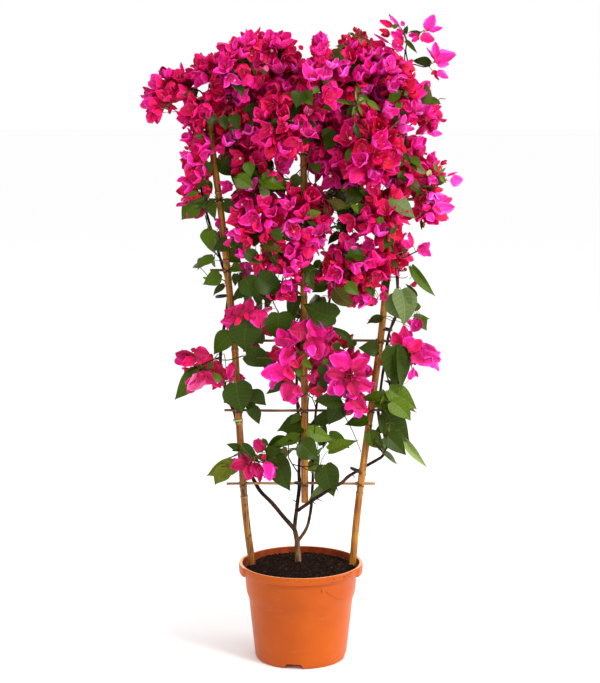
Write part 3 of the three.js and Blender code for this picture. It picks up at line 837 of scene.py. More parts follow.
BOUGHS = [
    [(-3.4, BACK, 352, 3.1), (-2, 42, 430, 3.0), (-8, 44, 520, 2.8), (-4, 42, 610, 2.7), (4, 42, 700, 2.6),
     (14, 42, 790, 2.4), (12, 40, 880, 2.2), (8, 36, 960, 2.0), (-4, 34, 1040, 1.8), (-20, 34, 1110, 1.5)],
    [(23.4, BACK, 346, 2.5), (24, 42, 400, 2.5), (30, 44, 480, 2.4), (44, 42, 570, 2.3), (52, 38, 668, 2.2),
     (66, 34, 760, 2.1), (80, 30, 850, 2.0), (95, 22, 930, 1.9), (108, 10, 1010, 1.7), (112, 8, 1090, 1.4)],
    [(187.5, BACK, 768, 2.2), (190, 36, 820, 2.1), (197, 34, 885, 2.0), (196, 24, 960, 1.9),
     (197, 18, 1020, 1.8), (196, 13, 1070, 1.7)],
    [(-187, 34, 889, 2.0), (-190, 30, 930, 2.0), (-186, 22, 985, 1.9), (-182, 10, 1040, 1.8),
     (-184, 4, 1085, 1.5), (-216, 0, 1092, 1.3), (-250, -4, 1086, 1.1)],
    [(-182, 10, 1040, 1.7), (-158, 0, 1075, 1.5), (-128, -14, 1110, 1.4), (-104, -22, 1140, 1.2)],
    [(8, 36, 960, 1.9), (-30, 10, 1000, 1.7), (-72, 14, 1030, 1.6), (-112, 26, 1050, 1.4)],
    [(12, 40, 880, 1.9), (-20, 20, 915, 1.7), (-58, 16, 930, 1.6), (-98, 18, 940, 1.4)],
    [(14, 42, 790, 1.8), (-18, 14, 815, 1.6), (-56, 0, 830, 1.5), (-90, -8, 845, 1.3)],
    [(4, 42, 700, 1.8), (-20, 18, 722, 1.6), (-50, 10, 735, 1.4), (-84, 14, 730, 1.2)],
    [(80, 30, 850, 1.7), (112, 10, 870, 1.5), (148, -6, 880, 1.4), (178, -4, 890, 1.2)],
    [(197, 34, 885, 1.6), (222, 20, 892, 1.4), (246, 6, 905, 1.2)],
    [(95, 22, 930, 1.6), (70, 14, 960, 1.5), (52, 0, 1000, 1.4), (40, -14, 1060, 1.3), (36, -20, 1110, 1.1)],
    [(108, 10, 1010, 1.5), (132, -14, 1020, 1.4), (156, -20, 1060, 1.2), (176, -16, 1090, 1.1)],
    [(197, 18, 1020, 1.4), (216, 8, 1034, 1.2), (232, 2, 1058, 1.1)],
    [(-20, 34, 1110, 1.4), (-42, 40, 1130, 1.2), (-60, 44, 1150, 1.0)],
    [(108, 14, 1000, 1.5), (112, 34, 1060, 1.4), (110, 42, 1120, 1.2)],
    [(186, 38, 739, 1.6), (168, 16, 760, 1.4), (142, 4, 772, 1.3), (108, 0, 764, 1.2)],
    [(187.5, 38, 768, 1.5), (204, 20, 780, 1.3), (222, 8, 790, 1.1)],
    [(66, 34, 760, 1.5), (84, 16, 756, 1.4), (104, 4, 740, 1.2)],
    [(170, BACK, 629, 1.6), (180, 20, 600, 1.4), (204, 4, 592, 1.2), (230, -2, 596, 1.0)],
    [(184, BACK, 668, 1.5), (196, 22, 690, 1.3), (204, 10, 715, 1.1)],
    [(160.6, BACK, 566.8, 1.6), (168, 24, 540, 1.4), (176, 12, 510, 1.2)],
    [(165.1, BACK, 403.5, 1.5), (150, 22, 420, 1.3), (142, 8, 432, 1.1)],
    [(44, 42, 570, 1.7), (66, 22, 580, 1.5), (86, 6, 572, 1.4), (98, -8, 540, 1.2), (100, -12, 500, 1.0)],
    [(-8, 44, 520, 1.7), (-22, 20, 550, 1.5), (-30, 4, 590, 1.4), (-20, -6, 640, 1.2), (0, -4, 668, 1.0)],
    [(-2, 42, 430, 1.6), (4, 20, 440, 1.4), (14, 4, 440, 1.2), (30, -4, 430, 1.0)],
    [(-3.4, BACK, 352, 1.5), (-14, 20, 372, 1.3), (-24, 4, 392, 1.1)],
    [(-154.9, BACK, 582.4, 1.6), (-168, 20, 580, 1.4), (-190, 4, 572, 1.2), (-216, -2, 560, 1.0)],
    [(-148, BACK, 640, 1.5), (-128, 20, 650, 1.4), (-104, 4, 652, 1.2), (-86, -4, 640, 1.0)],
    [(-133, BACK, 486, 1.5), (-122, 20, 500, 1.3), (-108, 6, 512, 1.1)],
    [(-108.6, BACK, 379.6, 1.6), (-100, 18, 384, 1.4), (-78, 2, 384, 1.2), (-56, -6, 374, 1.0)],
    [(-112, BACK, 395, 1.4), (-128, 18, 392, 1.3), (-148, 2, 388, 1.1)],
    [(-141, BACK, 684, 1.5), (-118, 24, 700, 1.3), (-92, 14, 712, 1.1)],
    [(-153.6, BACK, 772, 1.3), (-166, 20, 790, 1.1), (-176, 8, 806, 1.0)],
    [(-169.4, BACK, 823.5, 1.3), (-176, 18, 838, 1.1), (-180, 8, 856, 1.0)],
    [(52, 38, 668, 1.5), (38, 20, 680, 1.3), (22, 8, 682, 1.1)],
]


class Skeleton:
    def __init__(self):
        self.p = np.zeros((60000, 3))
        self.d = np.zeros((60000, 3))
        self.r = np.zeros(60000)
        self.n = 0

    def add(self, pts, radii):
        k = len(pts)
        self.p[self.n : self.n + k] = pts
        self.d[self.n : self.n + k] = unit(np.gradient(pts, axis=0))
        self.r[self.n : self.n + k] = radii
        self.n += k

    def nearest(self, q, below=0.35, thick=0.0):
        v = q - self.p[: self.n]
        far = np.linalg.norm(v, axis=1)
        cost = far - below * v[:, 2] * (far > 8) + np.where(self.r[: self.n] < thick, 1e3, 0)
        i = int(np.argmin(cost))
        return i, far[i]


bones = Skeleton()
wood = Soup()


def bark_tube(soup, stations, sides, rough, step=4.0, slot=0):
    """A limb with bark: ridges along it and small swellings, from noise."""
    path = smooth_path(stations, step)
    pts, rad = path[:, :3].copy(), path[:, 3].copy()
    for i in range(len(pts)):
        rad[i] *= 1 + 0.09 * noise.noise(Vector(pts[i] * 0.045)) + 0.05 * noise.noise(Vector(pts[i] * 0.16))
        pts[i] += np.array(noise.noise_vector(Vector(pts[i] * 0.03))) * 0.35 * rough
    v, t = tubes(pts[None], rad[None], sides)
    v = v[0]
    centre = np.concatenate([np.repeat(pts, sides, axis=0), pts[:1], pts[-1:]])
    out = unit(v - centre)
    for i in range(len(v) - 2):
        a = Vector((v[i][0] * 0.55, v[i][1] * 0.55, v[i][2] * 0.11))
        b = Vector(v[i] * 0.42)
        h = 0.34 * noise.noise(a) + 0.2 * noise.noise(b) + 0.16 * max(0, noise.noise(Vector(v[i] * 0.21)) - 0.25)
        v[i] += out[i] * h * rough
    soup.add(v, t, slot)
    return pts, rad


for name, stations in LIMBS.items():
    thin = name.startswith("limb_right_tip")
    thick = 1.0 if thin or name == "trunk" else 1.1
    stations = [(x, y, z, r * thick) for x, y, z, r in stations]
    pts, rad = bark_tube(wood, stations, 8 if thin else 14, 0.4 if thin else 1.0, 3.0)
    if name != "trunk":
        bones.add(pts, rad)
for stations in BOUGHS:
    pts, rad = bark_tube(wood, stations, 8, 0.7, 5.0)
    bones.add(pts, rad)

# ------------------------------------------------------------------ shoots that show in front
# depth y, radius, then the places they run through, as seen from the front

SHOOTS = [
    (0, 0.9, [(196, 104), (187, 99), (185, 95), (187, 86), (184, 78)]),
    (-4, 0.7, [(185, 95), (174, 91), (168, 90)]),
    (-2, 0.8, [(196, 116), (184, 113), (176, 111), (169, 107), (163, 106)]),
    (2, 0.6, [(186, 111), (170, 112), (162, 113)]),
    (-20, 1.1, [(252, 120), (248.5, 103), (246, 92), (243.6, 80), (242, 66)]),
    (-30, 0.7, [(232, 104), (231, 92), (226, 84), (222, 77)]),
    (8, 1.1, [(405, 62), (405, 52), (407, 43), (405, 35), (401, 28)]),
    (6, 0.7, [(401, 28), (397, 23), (393, 17)]),
    (4, 0.6, [(405, 35), (411, 32), (420, 32), (425, 30)]),
    (6, 0.5, [(406, 67), (402, 58), (398, 52)]),
    (0, 0.6, [(428, 66), (431, 69), (434, 73)]),
    (0, 0.6, [(428, 66), (433, 63), (435, 61)]),
    (-4, 0.8, [(418, 103), (430, 102), (437, 100), (441, 98.5), (446, 99)]),
    (-10, 0.5, [(405, 137), (411, 136.5), (420, 136)]),
    (-30, 1.6, [(402, 143), (399, 160), (397, 178), (399, 194)]),
    (-30, 0.9, [(398, 186), (404, 186), (409, 185), (415, 195), (421, 206), (421, 214)]),
    (-6, 0.6, [(410, 180), (420, 178), (430, 176), (439, 172), (443, 166)]),
    (-6, 0.6, [(430, 176), (440, 178), (448, 181)]),
    (-60, 0.9, [(333, 60), (331, 52), (329, 49)]),
    (-30, 0.8, [(350, 56), (349, 44), (348, 38), (352, 34), (357, 38), (361, 33)]),
    (-30, 0.7, [(357, 38), (365, 39), (371, 45)]),
    (-96, 0.9, [(362, 124), (358, 112), (356, 106), (358, 98), (361, 88)]),
    (-98, 0.8, [(356, 106), (350, 104), (345, 99), (335, 99)]),
    (-96, 0.7, [(356, 106), (345, 110), (338, 116)]),
    (-98, 0.6, [(300, 96), (309, 100), (308, 112), (302, 124)]),
    (-96, 0.6, [(309, 100), (316, 96), (330, 104), (335, 108)]),
    (-40, 1.4, [(309, 152), (309, 165), (308, 178), (312, 184), (318, 188), (323, 196)]),
    (-40, 1.2, [(289, 190), (293, 178), (301, 169), (308, 162)]),
    (-36, 1.3, [(323, 196), (335, 196), (345, 199)]),
    (-30, 1.2, [(332, 190), (342, 199), (352, 202)]),
    (-30, 1.2, [(381, 190), (374, 197), (367, 206)]),
    (-34, 1.3, [(361, 183), (366, 192), (373, 199)]),
    (-40, 1.0, [(329, 214), (335, 225), (341, 235)]),
    (-40, 0.7, [(331, 229), (337, 233), (343, 240)]),
    (-40, 0.6, [(325, 252), (328, 262), (320, 268)]),
    (-30, 2.0, [(391, 222), (393, 232), (392, 244), (395, 258), (396, 274), (397, 291)]),
    (-32, 0.7, [(383, 276), (393, 277), (404, 278), (408, 276)]),
    (-34, 0.6, [(402, 268), (408, 265), (411, 270), (412, 276), (409, 279)]),
    (-20, 1.6, [(396, 315), (391, 325), (387, 350), (384, 365)]),
    (-22, 0.6, [(388, 316), (380, 318), (367, 320)]),
    (-10, 1.0, [(199, 370), (210, 370), (220, 371), (224, 379), (226, 386)]),
    (-14, 0.8, [(219, 354), (221, 366), (223, 378)]),
    (-6, 0.8, [(224, 354), (226, 370), (226, 386)]),
    (-12, 0.7, [(199, 370), (206, 367), (212, 365)]),
    (-20, 1.0, [(272, 298), (276, 308), (280, 316)]),
    (-20, 1.0, [(293, 298), (296, 310), (298, 322)]),
    (-22, 0.9, [(240, 357), (248, 356), (256, 358)]),
    (-16, 1.2, [(297, 398), (300, 408), (302, 418)]),
    (-16, 1.2, [(309, 392), (308, 405), (308, 424)]),
    (-20, 1.3, [(312, 398), (316, 410), (315, 425), (313, 444)]),
    (-14, 1.0, [(342, 410), (348, 422), (353, 432), (361, 452)]),
    (-12, 0.9, [(371, 418), (371, 434), (374, 446)]),
    (-12, 1.1, [(377, 412), (379, 425), (380, 440), (384, 452)]),
    (-16, 1.2, [(381, 398), (384, 416), (387, 440), (384, 453)]),
    (-10, 0.9, [(289, 440), (295, 443), (302, 446)]),
    (-10, 0.8, [(289, 449), (295, 448), (302, 448)]),
    (-14, 0.9, [(311, 466), (317, 464), (322, 468)]),
    (-14, 0.8, [(311, 471), (316, 470), (321, 474)]),
    (-10, 0.9, [(263, 438), (264, 446), (262, 456), (268, 470)]),
]
# leaves: foot, tip, width, kind; d dark, m middle green, l light green, y yellow green, s sage,
# b brown green
SHOWN_LEAVES = [
    # crown
    (258, 107, 242, 111, 9, "d"), (233, 115, 236, 130, 11, "d"), (222, 117, 226, 130, 10, "d"),
    (210, 113, 214, 126, 12, "d"), (253, 113, 252, 128, 7, "d"), (247, 163, 251, 177, 11, "m"),
    (237, 178, 254, 189, 14, "m"), (262, 178, 287, 187, 16, "m"), (243, 186, 234, 178, 10, "l"),
    (220, 160, 213, 177, 13, "m"), (221, 164, 235, 176, 13, "d"), (229, 156, 221, 164, 10, "d"),
    (207, 163, 211, 174, 8, "d"), (208, 182, 212, 194, 8, "d"), (204, 180, 197, 189, 8, "d"),
    (300, 92, 296, 106, 14, "d"), (303, 93, 312, 105, 12, "m"), (318, 88, 313, 93, 6, "m"),
    (333, 106, 322, 108, 8, "m"), (308, 124, 316, 126, 7, "d"), (336, 133, 324, 150, 17, "d"),
    (330, 130, 322, 140, 10, "d"), (313, 162, 319, 174, 9, "m"), (299, 176, 290, 190, 11, "d"),
    (352, 103, 331, 99, 3.4, "l"), (356, 106, 345, 99, 2.8, "y"), (356, 108, 348, 103, 2.4, "l"), (355, 107, 351, 116, 2.6, "y"), (359, 107, 363, 117, 2.6, "l"), (357, 107, 354, 118, 3.4, "l"),
    (358, 102, 354, 88, 2.8, "y"), (357, 104, 361, 92, 2.4, "y"), (357, 105, 367, 99, 2.6, "l"), (360, 92, 355, 86, 4, "l"), (360, 98, 367, 106, 4, "y"),
    (368, 102, 382, 110, 6, "l"), (352, 108, 346, 116, 6, "m"), (362, 95, 371, 101, 4, "l"),
    (397, 91, 388, 103, 10, "m"), (400, 92, 393, 96, 6, "d"), (398, 118, 391, 121, 6, "d"),
    (397, 103, 402, 108, 6, "m"), (407, 95, 404, 90, 4, "s"), (350, 150, 346, 162, 6, "m"),
    (355, 126, 361, 140, 6, "d"), (404, 154, 409, 162, 6, "d"), (412, 158, 422, 166, 8, "m"),
    (402, 160, 399, 167, 6, "m"), (400, 172, 405, 183, 9, "m"), (411, 164, 417, 170, 5, "d"),
    (418, 168, 427, 174, 5, "s"), (428, 171, 432, 177, 6, "y"), (437, 170, 434, 162, 4, "l"),
    (440, 172, 446, 168, 3, "s"), (441, 176, 446, 183, 5, "l"), (410, 182, 425, 192, 10, "b"),
    (420, 190, 417, 196, 4, "d"), (429, 100, 441, 104, 7, "m"), (406, 41, 418, 51, 5, "m"),
    (420, 33, 409, 30.5, 3, "d"), (430, 64, 412, 60, 9, "d"), (397, 27, 391, 25, 5, "m"),
    (405, 33, 407, 25, 5, "d"), (402, 45, 400, 39, 4, "d"), (335, 56, 345, 57, 9, "d"),
    (334, 55, 342, 48, 6, "d"), (344, 46, 335, 46, 3, "d"), (350, 33, 358, 37, 2.6, "m"),
    (361, 37, 361, 29, 3, "m"), (366, 39, 371, 45, 2.6, "d"), (360, 39, 361, 44, 3, "s"),
    (396, 137, 401, 134, 3, "d"), (185, 96, 188, 91, 2.5, "d"), (261, 70, 268, 75, 3, "d"),
    (204, 137, 194, 136, 5, "m"), (369, 196, 360, 190, 8, "l"), (362, 205, 354, 216, 8, "m"),
    (333, 204, 347, 205, 11, "d"), (345, 206, 325, 200, 8, "b"), (346, 190, 340, 186, 6, "m"),
    # left side below the crown
    (196, 205, 181, 219, 17, "m"), (201, 202, 195, 209, 8, "d"), (203, 199, 191, 204, 5, "d"),
    (197, 193, 185, 196, 5, "m"), (211, 201, 214, 219, 10, "m"), (224, 202, 240, 212, 12, "d"),
    (209, 231, 208, 247, 14, "m"), (213, 257, 196, 267, 10, "m"), (219, 273, 203, 284, 14, "m"),
    (224, 285, 212, 295, 6, "d"), (229, 243, 212, 250, 13, "d"), (231, 242, 243, 250, 10, "d"),
    (227, 252, 241, 263, 14, "m"), (232, 266, 241, 271, 10, "m"), (236, 274, 235, 286, 7, "d"),
    (245, 279, 260, 297, 20, "d"), (258, 278, 285, 291, 22, "d"), (268, 276, 262, 282, 5, "l"),
    (282, 236, 270, 233, 12, "d"), (262, 244, 285, 250, 12, "b"), (281, 237, 297, 238, 6, "d"),
    (272, 250, 276, 268, 9, "d"), (243, 288, 232, 300, 9, "d"), (304, 268, 320, 272, 11, "d"), (297, 296, 287, 319, 13, "d"), (246, 252, 262, 264, 12, "d"), (309, 273, 313, 291, 9, "d"), (382, 318, 366, 322, 8, "d"),
    (321, 262, 311, 272, 8, "d"), (338, 232, 329, 246, 9, "d"), (363, 255, 346, 254, 14, "d"),
    (356, 248, 348, 262, 12, "d"), (347, 284, 359, 295, 11, "m"), (369, 286, 374, 297, 9, "d"),
    (386, 280, 386, 292, 9, "d"), (325, 284, 312, 292, 11, "d"), (382, 218, 378, 224, 6, "m"),
    (391, 238, 384, 248, 9, "d"), (392, 262, 399, 268, 6, "b"), (395, 225, 391, 236, 6, "d"),
    (308, 216, 321, 212, 9, "l"), (309, 222, 318, 226, 4, "d"), (352, 205, 358, 213, 6, "l"),
    (392, 198, 417, 217, 17, "s"), (397, 205, 411, 214, 8, "d"), (403, 252, 408, 250, 5, "b"),
    (412, 267, 434, 300, 9, "m"), (421, 221, 422, 230, 3, "d"), (416, 296, 406, 283, 4, "b"),
    (336, 291, 353, 306, 14, "b"), (335, 290, 349, 308, 14, "m"), (397, 293, 409, 322, 25, "s"),
    (401, 290, 405, 325, 24, "s"), (414, 317, 430, 319, 8, "s"), (420, 317, 427, 331, 10, "m"),
    # the two rows of the lower half
    (247, 320, 246, 354, 30, "d"), (279, 313, 280, 341, 28, "d"), (230, 334, 212, 353, 18, "m"),
    (246, 355, 275, 366, 19, "d"), (212, 363, 208, 370, 5, "d"), (206, 371, 174, 400, 20, "m"),
    (220, 380, 206, 373, 8, "l"), (285, 383, 265, 394, 8, "d"), (336, 317, 304, 303, 24, "d"),
    (350, 340, 331, 325, 7, "d"), (352, 340, 351, 349, 9, "d"), (337, 343, 337, 351, 8, "d"),
    (378, 350, 359, 349, 14, "d"), (303, 360, 312, 368, 7, "l"), (301, 375, 295, 369, 7, "l"),
    (324, 360, 330, 367, 6, "l"), (322, 392, 322, 376, 10, "d"), (323, 366, 322, 378, 9, "d"),
    (393, 347, 398, 391, 23, "d"), (402, 347, 405, 392, 16, "d"), (386, 350, 384, 366, 8, "m"),
    (389, 390, 417, 409, 19, "l"), (392, 402, 411, 420, 18, "l"), (376, 401, 394, 410, 11, "m"), (385, 396, 359, 397, 9, "m"),
    (236, 383, 243, 413, 28, "d"), (250, 393, 266, 406, 14, "d"), (250, 406, 259, 425, 12, "d"),
    (240, 449, 228, 443, 7, "d"), (238, 447, 232, 451, 5, "d"), (242, 446, 261, 462, 12, "d"),
    (263, 440, 269, 446, 5, "d"), (299, 437, 271, 444, 11, "m"), (303, 427, 277, 426, 22, "d"),
    (266, 453, 287, 453, 15, "d"), (285, 439, 266, 449, 12, "d"), (283, 448, 288, 455, 6, "b"), (276, 458, 288, 492, 23, "d"),
    (237, 465, 204, 474, 16, "o"), (227, 467, 213, 486, 15, "o"),
    (341, 405, 328, 425, 18, "d"), (341, 399, 315, 400, 16, "d"), (332, 413, 308, 429, 13, "d"), (308, 430, 333, 441, 14, "l"),
    (329, 435, 350, 448, 14, "m"), (329, 450, 356, 438, 14, "l"), (301, 443, 319, 459, 21, "d"),
    (325, 465, 334, 497, 23, "d"), (327, 487, 307, 499, 9, "s"), (367, 420, 344, 423, 12, "d"),
    (368, 433, 385, 450, 15, "m"), (386, 412, 411, 441, 26, "d"), (387, 436, 406, 455, 16, "d"),
    (404, 440, 428, 468, 8, "p"), (384, 452, 400, 465, 6, "s"), (384, 426, 374, 436, 7, "d"),
    (392, 424, 399, 440, 12, "m"), (386, 395, 380, 403, 5, "m"), (300, 415, 289, 424, 8, "m"),
]
